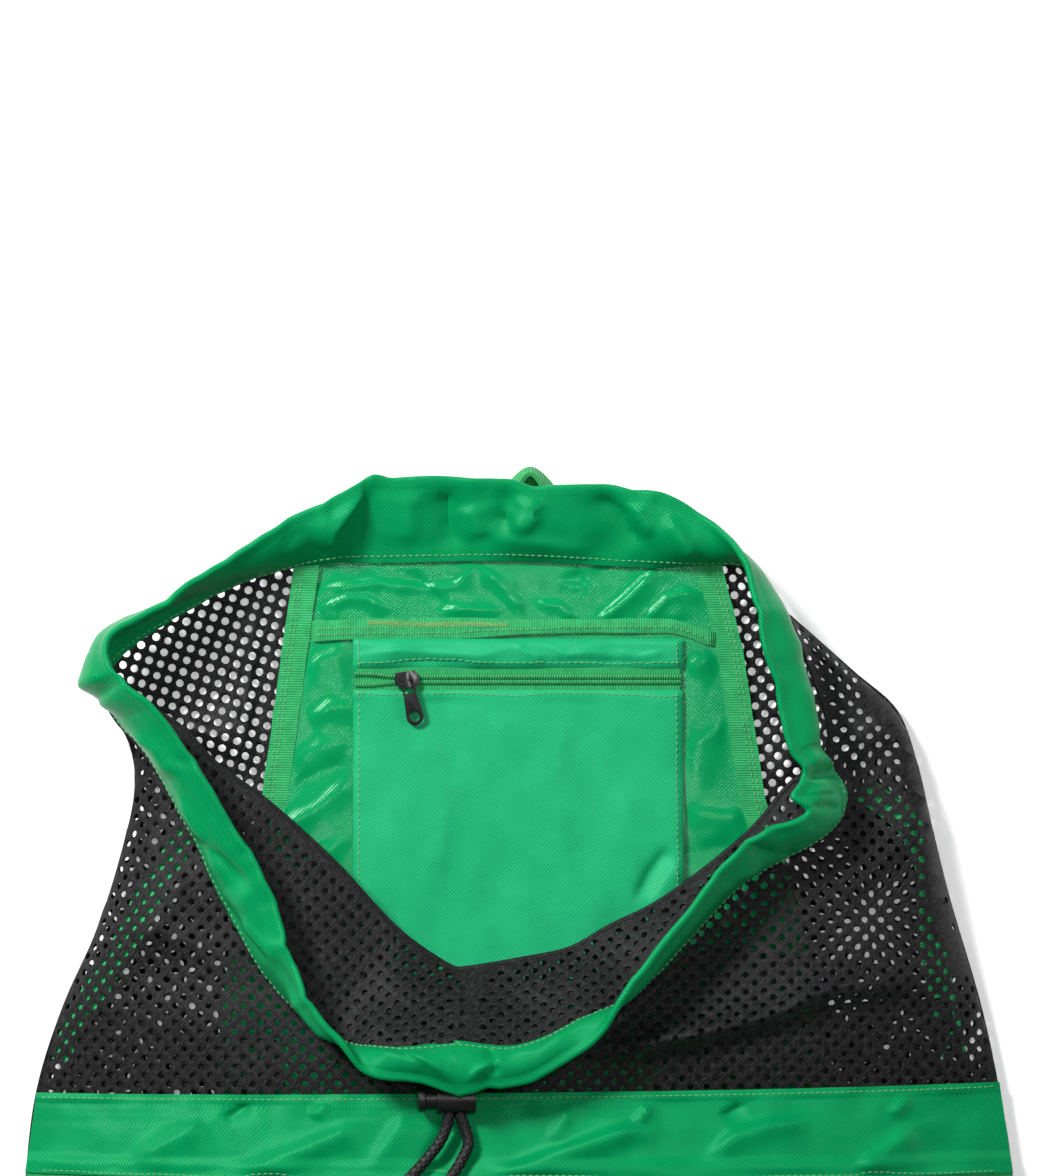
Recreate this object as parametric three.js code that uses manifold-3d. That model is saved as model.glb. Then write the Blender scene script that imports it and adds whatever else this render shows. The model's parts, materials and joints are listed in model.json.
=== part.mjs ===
// A mesh equipment backpack lying on its back with its mouth pulled open.
// Millimetres, +Z up, +Y towards the mouth. The origin is under the middle of the bag, where it lies.
import * as THREE from "three";
import { mergeVertices } from "three/addons/utils/BufferGeometryUtils.js";
import Module from "manifold-3d";

const wasm = await Module();
wasm.setup();

// Driving dimensions
const BAG_END = -298; // where the bag's walls end at its bottom
const HEM_Y = 25; // top edge of the front pocket, at the middle
const HEM_RISE = 0.011; // how much higher the hem is to the right, for each millimetre
const BACK_TOP = 258; // top edge of the back panel, at the casing's seam
const COLLAR_WIDTH = 38; // the casing round the mouth, from its seam to its rim
const NYLON = 1.3; // thicknesses of cloth, netting, webbing and tape
const MESH = 1.6;
const WEBBING = 2.6;
const TAPE = 1.1;
const TAPE_WIDTH = 11.6;
const GAP = 0.5; // left between pieces that touch
const CORD_RADIUS = 2.4;
const EDGE_Z = 7; // height of the folded side edges
const POCKET_CROWN = 2.6; // how square the front pocket's arch is

// Heights of the middle of each flat layer on the back
const BACK_Z = 4.2;
const BINDING_Z = 6.0;
const SLIP_Z = 6.2;
const SLIP_TAPE_Z = 7.9;
const ZIP_TAPE_Z = 7.9;
const PATCH_Z = 9.6;

// The casing round the mouth, from the cord's slit at the front, by the left, the back and the right.
// seam is the edge sewn to the bag, and rim the folded edge that holds the cord.
const COLLAR = [
  { seam: [-30, 49, 60], rim: [-27, 25, 66] },
  { seam: [-50, 46, 58], rim: [-49, 32, 63] },
  { seam: [-66, 46, 54], rim: [-66, 35, 64] },
  { seam: [-80, 48, 44], rim: [-80, 51, 68] },
  { seam: [-107, 70, 40], rim: [-97, 77, 62] },
  { seam: [-131, 107, 36], rim: [-107, 110, 54] },
  { seam: [-147, 142, 33], rim: [-125, 144, 51] },
  { seam: [-167, 176, 30], rim: [-147, 179, 50] },
  { seam: [-180, 191, 26], rim: [-162, 198, 50] },
  { seam: [-188, 204, 19], rim: [-190, 207, 48] },
  { seam: [-176, 222, 12], rim: [-190, 223, 42] },
  { seam: [-152, 238, 8], rim: [-159, 246, 34] },
  { seam: [-120, 254, 6], rim: [-124, 268, 26] },
  { seam: [-87, 261, 6], rim: [-82, 292, 18] },
  { seam: [-62, 261, 6], rim: [-63, 300, 14] },
  { seam: [0, 262, 6], rim: [0, 298, 15] },
  { seam: [58, 259, 6], rim: [65, 293, 16] },
  { seam: [84, 260, 7], rim: [86, 280, 21] },
  { seam: [102, 259, 13], rim: [101, 262, 42] },
  { seam: [115, 240, 21], rim: [106, 242, 49] },
  { seam: [124, 212, 26], rim: [114, 212, 52] },
  { seam: [134, 178, 31], rim: [124, 177, 53] },
  { seam: [145, 158, 34], rim: [123, 156, 56] },
  { seam: [138, 141, 37], rim: [115, 145, 58] },
  { seam: [104, 122, 40], rim: [92, 130, 62] },
  { seam: [75, 93, 44], rim: [74, 104, 66] },
  { seam: [49, 67, 50], rim: [46, 69, 74] },
  { seam: [31, 60, 56], rim: [35, 51, 70] },
  { seam: [0, 47, 60], rim: [5, 32, 66] },
  { seam: [-26, 49, 60], rim: [-24, 25, 66] },
];
const LEFT_CORNER = 9; // rows of COLLAR where the back of the mouth meets its front
const RIGHT_CORNER = 18;

// The front mesh from the left corner of the mouth to the right one, a row for each row of COLLAR there.
// hem is where the row leaves the pocket's top edge; fold is where the mesh turns over and comes back.
const FRONT = [
  { hem: -217, fold: [-184, 203] },
  { hem: -212, fold: [-168, 197] },
  { hem: -204, fold: [-150, 186] },
  { hem: -188, fold: [-136, 171] },
  { hem: -160, fold: [-113, 154] },
  { hem: -125, fold: [-82, 126] },
  { hem: -92, fold: [-59, 101] },
  { hem: -76, fold: [-49, 92] },
  { hem: -58, fold: [-39, 85] },
  { hem: -32, fold: [-28, 79] },
  { hem: -27, fold: [-25, 79] },
  { hem: 2, fold: [0, 83] },
  { hem: 34, fold: [23, 88] },
  { hem: 60, fold: [41, 98] },
  { hem: 88, fold: [63, 109] },
  { hem: 125, fold: [104, 141] },
  { hem: 165, fold: [122, 162] },
  { hem: 190, fold: [135, 170] },
  { hem: 202, fold: [139, 182] },
  { hem: 208, fold: [130, 214] },
  { hem: 212, fold: [121, 243] },
  { hem: 216, fold: [109, 261] },
];
const FOLD_Z = { corner: 13, middle: 26 }; // height of the lower layer at the fold
const FOLD_RADIUS = 3.5;
const MESH_BULGE = 9;

// Soft ridges where the front mesh drapes, each along a straight line seen from above
const RIDGES = [
  { from: [75, 62], to: [170, 92], height: 6, width: 13 },
  { from: [145, 181], to: [172, 190], height: 4, width: 9 },
  { from: [-150, 118], to: [-200, 48], height: 4, width: 12 },
];

// Side edges, where the gusset under the bag meets its front, from the bottom to the mouth's corners.
const LEFT_EDGE = [
  { x: -210, y: BAG_END },
  { x: -224, y: -220 },
  { x: -226, y: -120 },
  { x: -222, y: -13 },
  { x: -217, y: HEM_Y },
  { x: -206, y: 60 },
  { x: -191, y: 94 },
  { x: -181, y: 124 },
  { x: -173, y: 160 },
  { x: -175, y: 178 },
  { x: -184, y: 203 },
];
const RIGHT_EDGE = [
  { x: 210, y: BAG_END },
  { x: 224, y: -220 },
  { x: 226, y: -120 },
  { x: 222, y: -13 },
  { x: 216, y: HEM_Y },
  { x: 208, y: 62 },
  { x: 194, y: 110 },
  { x: 186, y: 142 },
  { x: 179, y: 172 },
  { x: 170, y: 195 },
  { x: 151, y: 212 },
  { x: 133, y: 228 },
  { x: 120, y: 243 },
  { x: 109, y: 261 },
];
const HEM_ROW = 4; // row of both edges at the front pocket's top

// Seams between the back panel and the gussets
const LEFT_SEAM = [
  { x: -140, y: BAG_END },
  { x: -131, y: 34 },
  { x: -124, y: 94 },
  { x: -110, y: 155 },
  { x: -96, y: BACK_TOP },
];
const RIGHT_SEAM = [
  { x: 140, y: BAG_END },
  { x: 132, y: 38 },
  { x: 122, y: 100 },
  { x: 105, y: 155 },
  { x: 95, y: 222 },
  { x: 86, y: BACK_TOP },
];

// Height of the front pocket's arch along the bag
const POCKET_HEIGHT = [
  { y: BAG_END, z: 44 },
  { y: -220, z: 62 },
  { y: -120, z: 70 },
  { y: -40, z: 61 },
  { y: HEM_Y, z: 46 },
];

// Tools for walls, tubes and cut solids

const vec = (x, y, z) => new THREE.Vector3(x, y, z);
const mix = (a, b, t) => a + (b - a) * t;
const clamp = THREE.MathUtils.clamp;
const smooth = (points) => new THREE.CatmullRomCurve3(points, false, "centripetal");
const steps = (count) => Array.from({ length: count + 1 }, (_, i) => i / count);

// A column of a table at y, by straight lines between rows in order of y
function along(rows, column, y) {
  const next = rows.findIndex((row) => row.y >= y);
  const b = next < 0 ? rows.length - 1 : Math.max(next, 1);
  const share = clamp((y - rows[b - 1].y) / (rows[b].y - rows[b - 1].y), 0, 1);
  return mix(rows[b - 1][column], rows[b][column], share);
}

function bodyOf(points, triangles) {
  const geometry = new THREE.BufferGeometry().setFromPoints(points);
  geometry.setIndex(triangles);
  return geometry;
}

// A wall of even thickness about a grid of points, facing rows cross columns
function wall(grid, thickness) {
  const rows = grid.length;
  const columns = grid[0].length;
  const at = (i, j) => grid[clamp(i, 0, rows - 1)][clamp(j, 0, columns - 1)];
  const points = [];
  for (const side of [0.5, -0.5]) {
    for (let i = 0; i < rows; i++) {
      for (let j = 0; j < columns; j++) {
        const across = at(i + 1, j).clone().sub(at(i - 1, j));
        const up = at(i, j + 1).clone().sub(at(i, j - 1));
        const normal = across.cross(up).normalize();
        points.push(at(i, j).clone().addScaledVector(normal, side * thickness));
      }
    }
  }
  const under = rows * columns;
  const triangles = [];
  const quad = (a, b, c, d) => triangles.push(a, b, c, a, c, d);
  const id = (i, j) => i * columns + j;
  const rim = (a, b) => quad(b, a, a + under, b + under);
  for (let i = 0; i + 1 < rows; i++) {
    for (let j = 0; j + 1 < columns; j++) {
      const ring = [id(i, j), id(i + 1, j), id(i + 1, j + 1), id(i, j + 1)];
      quad(...ring);
      quad(...ring.reverse().map((k) => k + under));
    }
    rim(id(i, 0), id(i + 1, 0));
    rim(id(i + 1, columns - 1), id(i, columns - 1));
  }
  for (let j = 0; j + 1 < columns; j++) {
    rim(id(0, j + 1), id(0, j));
    rim(id(rows - 1, j), id(rows - 1, j + 1));
  }
  return bodyOf(points, triangles);
}

// A wall over a flat region between two side lines given as functions of y
function sheet(fromY, toY, leftX, rightX, heightAt, thickness, across, up) {
  const grid = steps(across).map((u) =>
    steps(up).map((v) => {
      const y = mix(fromY, toY, v);
      const x = mix(leftX(y), rightX(y), u);
      return vec(x, y, heightAt(x, y, u, v));
    }),
  );
  return wall(grid, thickness);
}

// A patch between four curves that meet at its corners
function coons(bottom, top, left, right) {
  return (u, v) => {
    const upward = bottom.getPoint(u).lerp(top.getPoint(u), v);
    const sideways = left.getPoint(v).lerp(right.getPoint(v), u);
    const low = bottom.getPoint(0).lerp(bottom.getPoint(1), u);
    const high = top.getPoint(0).lerp(top.getPoint(1), u);
    return upward.add(sideways).sub(low.lerp(high, v));
  };
}

function merged(geometry) {
  const bare = geometry.index ? geometry.toNonIndexed() : geometry.clone();
  bare.deleteAttribute("normal");
  bare.deleteAttribute("uv");
  return mergeVertices(bare, 1e-3);
}

// A tube along hand-placed points
function tube(points, radius, sides, count) {
  const circle = new THREE.Shape();
  for (let k = 0; k < sides; k++) {
    const angle = (2 * Math.PI * k) / sides;
    const place = [radius * Math.cos(angle), radius * Math.sin(angle)];
    if (k) circle.lineTo(...place);
    else circle.moveTo(...place);
  }
  const path = smooth(points);
  return new THREE.ExtrudeGeometry(circle, { steps: count, bevelEnabled: false, extrudePath: path });
}

// A flat outline given a thickness, middle at z = 0
function plate(shape, thickness, curveSegments = 6) {
  const geometry = new THREE.ExtrudeGeometry(shape, { depth: thickness, bevelEnabled: false, curveSegments });
  return geometry.translate(0, 0, -thickness / 2);
}

function solid(geometry) {
  const bare = merged(geometry);
  const vertProperties = bare.attributes.position.array;
  const triVerts = new Uint32Array(bare.index.array);
  return new wasm.Manifold(new wasm.Mesh({ numProp: 3, vertProperties, triVerts }));
}

function surface(made) {
  const mesh = made.getMesh();
  const geometry = new THREE.BufferGeometry();
  geometry.setAttribute("position", new THREE.BufferAttribute(mesh.vertProperties, 3));
  geometry.setIndex(new THREE.BufferAttribute(mesh.triVerts, 1));
  return geometry;
}

const box = (width, depth, height) => new THREE.BoxGeometry(width, depth, height);
const rod = (radius, length, sides = 20) => new THREE.CylinderGeometry(radius, radius, length, sides);

const bag = new THREE.Group();
const cloth = (color) => new THREE.MeshStandardMaterial({ color, roughness: 0.75 });
const plastic = (color) => new THREE.MeshStandardMaterial({ color, roughness: 0.4 });
const nylon = () => cloth(0x0f9d58);
const ribbon = () => cloth(0x35a85a);
const netting = () => cloth(0x1b1b1e);
const braid = () => cloth(0x17171a);
const black = () => plastic(0x141416);

function add(name, geometry, material) {
  const mesh = new THREE.Mesh(geometry, material);
  mesh.name = name;
  bag.add(mesh);
  return mesh;
}

// Shoulder straps: flat webbing folded away under the back, each from the top seam to a bottom corner.

const STRAP_WIDTH = 40;
const STRAP_LINE = [
  [34, 252],
  [62, 180],
  [92, 60],
  [104, -80],
  [106, -200],
  [104, -285],
];
for (const [name, side] of [["strap_left", -1], ["strap_right", 1]]) {
  const line = smooth(STRAP_LINE.map(([x, y]) => vec(side * x, y, WEBBING / 2)));
  const grid = steps(16).map((t) => {
    const middle = line.getPoint(t);
    const across = vec(0, 0, 1).cross(line.getTangent(t)).multiplyScalar(STRAP_WIDTH / 2);
    return [middle.clone().sub(across), middle.clone().add(across)];
  });
  add(name, wall(grid, WEBBING), ribbon());
}

// Back panel: one flat nylon sheet between the two bound seams, from the bottom to the casing.

const leftSeam = (y) => along(LEFT_SEAM, "x", y);
const rightSeam = (y) => along(RIGHT_SEAM, "x", y);
const flat = (z) => () => z;
const backLeft = (y) => leftSeam(y) + GAP;
const backRight = (y) => rightSeam(y) - GAP;
add("back_panel", sheet(BAG_END, BACK_TOP, backLeft, backRight, flat(BACK_Z), NYLON, 4, 12), nylon());

// Bindings: woven tape over both seams of the back panel, inside the bag.

const BINDING_ENDS = [BAG_END + 6, BACK_TOP - 2];
for (const [name, seam] of [["binding_left", leftSeam], ["binding_right", rightSeam]]) {
  const left = (y) => seam(y) - TAPE_WIDTH / 2;
  const right = (y) => seam(y) + TAPE_WIDTH / 2;
  add(name, sheet(...BINDING_ENDS, left, right, flat(BINDING_Z), TAPE, 1, 14), ribbon());
}

// Slip pocket: a nylon panel between the bindings, open along its bound top edge.

const SLIP_BOTTOM = 0;
const SLIP_TOP = 234;
const SLIP_TAPE = { bottom: 226, top: 235.5 };
const betweenLeft = (y) => leftSeam(y) + TAPE_WIDTH / 2 + 2 * GAP;
const betweenRight = (y) => rightSeam(y) - TAPE_WIDTH / 2 - 2 * GAP;
add("slip_pocket", sheet(SLIP_BOTTOM, SLIP_TOP, betweenLeft, betweenRight, flat(SLIP_Z), NYLON, 4, 8), nylon());
const slipTape = sheet(SLIP_TAPE.bottom, SLIP_TAPE.top, betweenLeft, betweenRight, flat(SLIP_TAPE_Z), TAPE, 4, 1);
add("slip_binding", slipTape, ribbon());

// Zip pocket on the slip pocket: an upper band and a lower panel with the zip between them.

const PATCH = { left: -74.5, right: 73.5, top: 225.4, bottom: 36 };
const ZIP_WINDOW = { top: 213.5, bottom: 203.5, middle: 208.5 };
const PATCH_PUFF = 1.2;
const patchZ = (x, y, u, v) => PATCH_Z + PATCH_PUFF * Math.sin(Math.PI * u) * Math.sin(Math.PI * v);
const patchLeft = () => PATCH.left;
const patchRight = () => PATCH.right;
const upperBand = sheet(ZIP_WINDOW.top, PATCH.top, patchLeft, patchRight, flat(PATCH_Z), NYLON, 2, 1);
add("zip_pocket_band", upperBand, nylon());
const lowerPanel = sheet(PATCH.bottom, ZIP_WINDOW.bottom, patchLeft, patchRight, patchZ, NYLON, 8, 8);
add("zip_pocket_panel", lowerPanel, nylon());

// Zips: a tape with the coil as a ridge along its middle, as one piece.

const COIL = { width: 5.2, height: 1.3 };
const ZIP_TAPE_WIDTH = 17;

function zipPiece(fromX, toX, middleY, heightAt, count) {
  const half = ZIP_TAPE_WIDTH / 2;
  const coil = COIL.width / 2;
  const low = -TAPE / 2;
  const high = TAPE / 2;
  const crest = high + COIL.height;
  const section = [
    [-half, low],
    [half, low],
    [half, high],
    [coil, high],
    [coil * 0.7, crest],
    [-coil * 0.7, crest],
    [-coil, high],
    [-half, high],
  ];
  const points = [];
  for (const t of steps(count)) {
    const x = mix(fromX, toX, t);
    for (const [dy, dz] of section) points.push(vec(x, middleY + dy, heightAt(x, middleY + dy) + dz));
  }
  const n = section.length;
  const triangles = [];
  for (let i = 0; i < count; i++) {
    for (let k = 0; k < n; k++) {
      const a = i * n + k;
      const b = i * n + ((k + 1) % n);
      triangles.push(a, b, a + n, b, b + n, a + n);
    }
  }
  const fan = [
    [0, 1, 7],
    [1, 2, 3],
    [1, 3, 6],
    [1, 6, 7],
    [3, 4, 5],
    [3, 5, 6],
  ];
  for (const [a, b, c] of fan) {
    triangles.push(a, c, b);
    triangles.push(count * n + a, count * n + b, count * n + c);
  }
  return bodyOf(points, triangles);
}

add("inner_zip", zipPiece(PATCH.left + 1, PATCH.right - 1, ZIP_WINDOW.middle, flat(ZIP_TAPE_Z), 1), ribbon());

// Zip sliders and their pull tabs. The tab's cross pin is held under the slider's bridge and turns there.

const SLIDER = { length: 10.5, width: 8.2, top: 1.6 };
const BRIDGE = { reach: 3.7, post: 1.3, width: 1.8, clear: 3.4, height: 4.6 };
const PIN_HEIGHT = 1.9; // the tab's cross pin above the slider's plate
const TAB = { length: 21, neck: 5.8, width: 7.8, thick: 1.4, window: 6.3, rail: 0.9, hole: 2.3 };

// A slider that rides over the coil; its own origin is the middle of its plate's top
function sliderBody() {
  const half = { x: SLIDER.length / 2, y: SLIDER.width / 2 };
  const outline = new THREE.Shape();
  outline.moveTo(-half.x, -half.y * 0.7);
  outline.lineTo(half.x - 2, -half.y);
  outline.lineTo(half.x, -half.y * 0.6);
  outline.lineTo(half.x, half.y * 0.6);
  outline.lineTo(half.x - 2, half.y);
  outline.lineTo(-half.x, half.y * 0.7);
  const base = solid(plate(outline, SLIDER.top).translate(0, 0, -SLIDER.top / 2));
  const arch = box(BRIDGE.width, 2 * BRIDGE.reach, BRIDGE.height + 0.2).translate(0, 0, BRIDGE.height / 2 - 0.1);
  const gap = box(BRIDGE.width + 2, 2 * (BRIDGE.reach - BRIDGE.post), BRIDGE.clear).translate(0, 0, BRIDGE.clear / 2);
  return surface(base.add(solid(arch).subtract(solid(gap))));
}

// A tab that hangs from its cross pin at the origin towards -Y, in the plane z = 0
function pullTab() {
  const pin = TAB.thick / 2;
  const far = TAB.length - TAB.width / 2;
  const outline = new THREE.Shape();
  outline.moveTo(-TAB.neck / 2, pin);
  outline.lineTo(-TAB.neck / 2, -TAB.window - 1);
  outline.lineTo(-TAB.width / 2, -far);
  outline.absarc(0, -far, TAB.width / 2, Math.PI, 2 * Math.PI, false);
  outline.lineTo(TAB.neck / 2, -TAB.window - 1);
  outline.lineTo(TAB.neck / 2, pin);
  const eye = new THREE.Path();
  const inner = TAB.neck / 2 - TAB.rail;
  eye.moveTo(-inner, -pin);
  eye.lineTo(inner, -pin);
  eye.lineTo(inner, -TAB.window);
  eye.lineTo(-inner, -TAB.window);
  const ring = new THREE.Path();
  ring.absarc(0, -far, TAB.hole, 0, 2 * Math.PI, true);
  outline.holes.push(eye, ring);
  return plate(outline, TAB.thick, 10);
}

// place is the slider's seat, lean its tilt across the bag, turn and droop the way its tab lies
function zipSlider(name, place, lean, turn, droop) {
  const seat = new THREE.Matrix4().makeTranslation(...place);
  seat.multiply(new THREE.Matrix4().makeRotationY(lean));
  const body = add(name + "_slider", sliderBody(), black());
  body.applyMatrix4(seat);
  const tab = add(name + "_pull", pullTab(), black());
  tab.applyMatrix4(new THREE.Matrix4().makeRotationX(droop));
  tab.applyMatrix4(new THREE.Matrix4().makeRotationZ(turn));
  tab.applyMatrix4(new THREE.Matrix4().makeTranslation(0, 0, PIN_HEIGHT));
  tab.applyMatrix4(seat);
}

const SLIDER_SEAT = TAPE / 2 + COIL.height + GAP + SLIDER.top;
const INNER_SLIDER_X = -50.5;
zipSlider("inner", [INNER_SLIDER_X, ZIP_WINDOW.middle, ZIP_TAPE_Z + SLIDER_SEAT], 0, 0.22, 0.1);

// Curves that several pieces share: the side edges and the casing's two edges.

const edgePoints = (rows, z) => rows.map((row) => vec(row.x, row.y, z));
const collarSeam = COLLAR.map((row) => vec(...row.seam));
const collarRim = COLLAR.map((row) => vec(...row.rim));

// Gussets: mesh under the bag from the back's seams out to the side edges, lying on the table.

const GUSSET_LOW = MESH / 2 + 0.1;
const GUSSET_EDGE = EDGE_Z - 1.6;
const GUSSET_TOP_GAP = 3;
const UNDER_TAPE = 2.5; // from the seam to the edge of the mesh, hidden by the binding
for (const [name, seam, edge, corners] of [
  ["gusset_left", LEFT_SEAM, LEFT_EDGE, [13, LEFT_CORNER]],
  ["gusset_right", RIGHT_SEAM, RIGHT_EDGE, [17, RIGHT_CORNER]],
]) {
  const side = Math.sign(edge[0].x);
  const inner = seam.map((row) => vec(row.x + side * UNDER_TAPE, row.y, BACK_Z));
  const outer = edgePoints(edge, GUSSET_EDGE);
  const top = [inner[inner.length - 1]];
  const stride = Math.sign(corners[1] - corners[0]);
  for (let row = corners[0] + stride; row !== corners[1]; row += stride) {
    top.push(vec(collarSeam[row].x, collarSeam[row].y - GUSSET_TOP_GAP, BACK_Z));
  }
  top.push(outer[outer.length - 1]);
  const patch = coons(smooth([inner[0], outer[0]]), smooth(top), smooth(inner), smooth(outer));
  const grid = steps(8).map((u) =>
    steps(12).map((v) => {
      const inwards = mix(BACK_Z, GUSSET_LOW, Math.min(1, u * 4));
      const lying = mix(inwards, GUSSET_EDGE, Math.max(0, u * 4 - 3));
      const hung = mix(BACK_Z, GUSSET_EDGE, u);
      return patch(u, v).setZ(mix(lying, hung, Math.max(0, v * 8 - 7)));
    }),
  );
  add(name, wall(grid, MESH), netting());
}

// Front mesh: rises from the pocket's hem, turns over at the fold and comes back to the casing's seam.

function pocketZ(x, y) {
  const left = along(LEFT_EDGE, "x", y);
  const right = along(RIGHT_EDGE, "x", y);
  const share = Math.min(1, Math.abs((2 * x - left - right) / (right - left)));
  const crown = along(POCKET_HEIGHT, "z", y);
  return EDGE_Z + (crown - EDGE_Z) * (1 - share ** POCKET_CROWN);
}

const frontRows = FRONT.map((_, i) => (LEFT_CORNER - i + COLLAR.length) % COLLAR.length);
const hemAt = (x) => HEM_Y + HEM_RISE * x;
const hemLine = smooth(FRONT.map((row) => vec(row.hem, hemAt(row.hem) + GAP, pocketZ(row.hem, HEM_Y))));
const foldLine = smooth(
  FRONT.map((row, i) => {
    const middle = Math.sin((Math.PI * i) / (FRONT.length - 1));
    return vec(...row.fold, mix(FOLD_Z.corner, FOLD_Z.middle, Math.sqrt(Math.abs(middle))));
  }),
);
const seamLine = smooth(frontRows.map((row) => collarSeam[row]));

function sideLine(rows, start, end) {
  const points = edgePoints(rows.slice(HEM_ROW), EDGE_Z);
  points[0] = start;
  points[points.length - 1] = end;
  return smooth(points);
}

const leftLine = sideLine(LEFT_EDGE, hemLine.getPoint(0), foldLine.getPoint(0));
const rightLine = sideLine(RIGHT_EDGE, hemLine.getPoint(1), foldLine.getPoint(1));
const outerPatch = coons(hemLine, foldLine, leftLine, rightLine);
const OUTER_STEPS = 7;
const RETURN_STEPS = 4;
const SEAM_ALLOWANCE = 4.3; // how far the mesh stops short of the casing's edge

function outerPlace(u, v) {
  const place = outerPatch(u, v);
  const arch = 1 - Math.abs(2 * u - 1) ** 8;
  place.z += MESH_BULGE * arch * Math.sin(Math.PI * v);
  for (const ridge of RIDGES) {
    const line = new THREE.Line3(vec(...ridge.from, place.z), vec(...ridge.to, place.z));
    const away = line.closestPointToPoint(place, true, vec(0, 0, 0)).distanceTo(place);
    place.z += ridge.height * arch * Math.sin(Math.PI * v) * Math.exp(-((away / ridge.width) ** 2));
  }
  return place;
}

function frontColumn(u) {
  const column = steps(OUTER_STEPS).map((v) => outerPlace(u, v));
  const fold = column[OUTER_STEPS];
  const onward = fold.clone().sub(column[OUTER_STEPS - 2]).setZ(0).normalize();
  const tip = fold.clone().addScaledVector(onward, FOLD_RADIUS);
  column.push(tip.setZ(fold.z + FOLD_RADIUS));
  const over = fold.clone().setZ(fold.z + 2 * FOLD_RADIUS);
  const seam = seamLine.getPoint(u);
  const end = seam.clone().sub(seam.clone().sub(over).setLength(SEAM_ALLOWANCE));
  for (const t of steps(RETURN_STEPS)) column.push(over.clone().lerp(end, t));
  return column;
}

add("front_mesh", wall(steps(42).map(frontColumn), MESH), netting());

// Side tapes: woven tape inside the mesh along the side seams, seen through its holes.

const SIDE_TAPE_UNDER = 2.8;
for (const [name, from, to] of [["side_tape_left", 0.072, 0.115], ["side_tape_right", 0.828, 0.81]]) {
  const grid = [-1, 1].map((side) =>
    steps(10).map((t) => {
      const v = mix(0.06, 0.88, t);
      const u = mix(from, to, t);
      const across = outerPlace(u + 0.01, v).sub(outerPlace(u - 0.01, v));
      const place = outerPlace(u, v).addScaledVector(across.normalize(), (side * TAPE_WIDTH) / 2);
      return place.setZ(place.z - SIDE_TAPE_UNDER);
    }),
  );
  add(name, wall(grid, TAPE), ribbon());
}

// Front pocket: a nylon band over the zip, the zip, and the panel down to the bottom.

const FRONT_ZIP_Y = -17;
const FRONT_ZIP_HALF = ZIP_TAPE_WIDTH / 2 + GAP;
const FRONT_SLIDER_X = 112;
const pocketLeft = (y) => along(LEFT_EDGE, "x", y);
const pocketRight = (y) => along(RIGHT_EDGE, "x", y);
function pocketSheet(fromY, toY, up) {
  const grid = steps(20).map((u) =>
    steps(up).map((v) => {
      const level = mix(fromY, toY, v);
      const x = mix(pocketLeft(level), pocketRight(level), u);
      const rise = toY === HEM_Y ? v * (hemAt(x) - HEM_Y) : 0;
      return vec(x, level + rise, pocketZ(x, level));
    }),
  );
  return wall(grid, NYLON);
}

add("front_pocket_band", pocketSheet(FRONT_ZIP_Y + FRONT_ZIP_HALF, HEM_Y, 2), nylon());
add("front_pocket_panel", pocketSheet(BAG_END, FRONT_ZIP_Y - FRONT_ZIP_HALF, 9), nylon());
const zipEnds = [pocketLeft(FRONT_ZIP_Y) + 4, pocketRight(FRONT_ZIP_Y) - 4];
add("front_zip", zipPiece(...zipEnds, FRONT_ZIP_Y, pocketZ, 20), ribbon());
const seatZ = (x) => pocketZ(x, FRONT_ZIP_Y);
const frontLean = Math.atan((seatZ(FRONT_SLIDER_X - 5) - seatZ(FRONT_SLIDER_X + 5)) / 10);
zipSlider("front", [FRONT_SLIDER_X, FRONT_ZIP_Y, seatZ(FRONT_SLIDER_X) + SLIDER_SEAT], frontLean, 0, -0.04);

// Bottom panel: closes the end of the bag, a little rounded outwards.

const BOTTOM_PUFF = 6;
const bottomGrid = steps(20).map((u) =>
  steps(4).map((v) => {
    const x = mix(pocketLeft(BAG_END) + 1, pocketRight(BAG_END) - 1, u);
    const round = BOTTOM_PUFF * Math.sin(Math.PI * u) * Math.sin(Math.PI * v);
    return vec(x, BAG_END - NYLON / 2 - GAP - round, mix(0.3, pocketZ(x, BAG_END), v));
  }),
);
add("bottom_panel", wall(bottomGrid, NYLON), nylon());

// Casing: a hollow nylon sleeve from its seam to a rim bead round the cord, open at the front slit.

const SLEEVE = { seam: 1.2, middle: 1.5, neck: 2.2, bead: 4.6, wall: 1.0 };
const BEAD_AT = 0.87; // share of the width where the cord lies
const COLLAR_STEPS = 58;
const seamCurve = smooth(collarSeam);
const rimCurve = smooth(collarRim);

// The sleeve's frame at t: a place from the share of the width and the distances off its middle
function sleeveAt(t) {
  const seam = seamCurve.getPoint(t);
  const across = rimCurve.getPoint(t).sub(seam);
  const run = seamCurve.getTangent(t).add(rimCurve.getTangent(t)).normalize();
  const normal = run.cross(across).normalize();
  const chord = across.length();
  const spare = Math.max(0, COLLAR_WIDTH - chord) * chord;
  const bow = Math.min(Math.sqrt((3 / 8) * spare), 0.4 * chord) * normal.z;
  const onward = across.clone().normalize();
  return (share, out = 0, on = 0) => {
    const place = seam.clone().addScaledVector(across, share);
    const rise = 4 * bow * share * (1 - share);
    return place.addScaledVector(normal, rise + out).addScaledVector(onward, on);
  };
}

function sleeveRing(at, inset, start) {
  const stations = [
    [start + 0.02, SLEEVE.seam],
    [0.32, SLEEVE.middle],
    [0.62, SLEEVE.neck],
  ];
  const ring = [at(start)];
  for (const [share, half] of stations) ring.push(at(share, half - inset));
  for (const angle of [100, 50, 0, -50, -100]) {
    const turn = THREE.MathUtils.degToRad(angle);
    const radius = SLEEVE.bead - inset;
    ring.push(at(BEAD_AT, radius * Math.sin(turn), radius * Math.cos(turn)));
  }
  for (const [share, half] of stations.reverse()) ring.push(at(share, inset - half));
  return ring;
}

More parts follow.
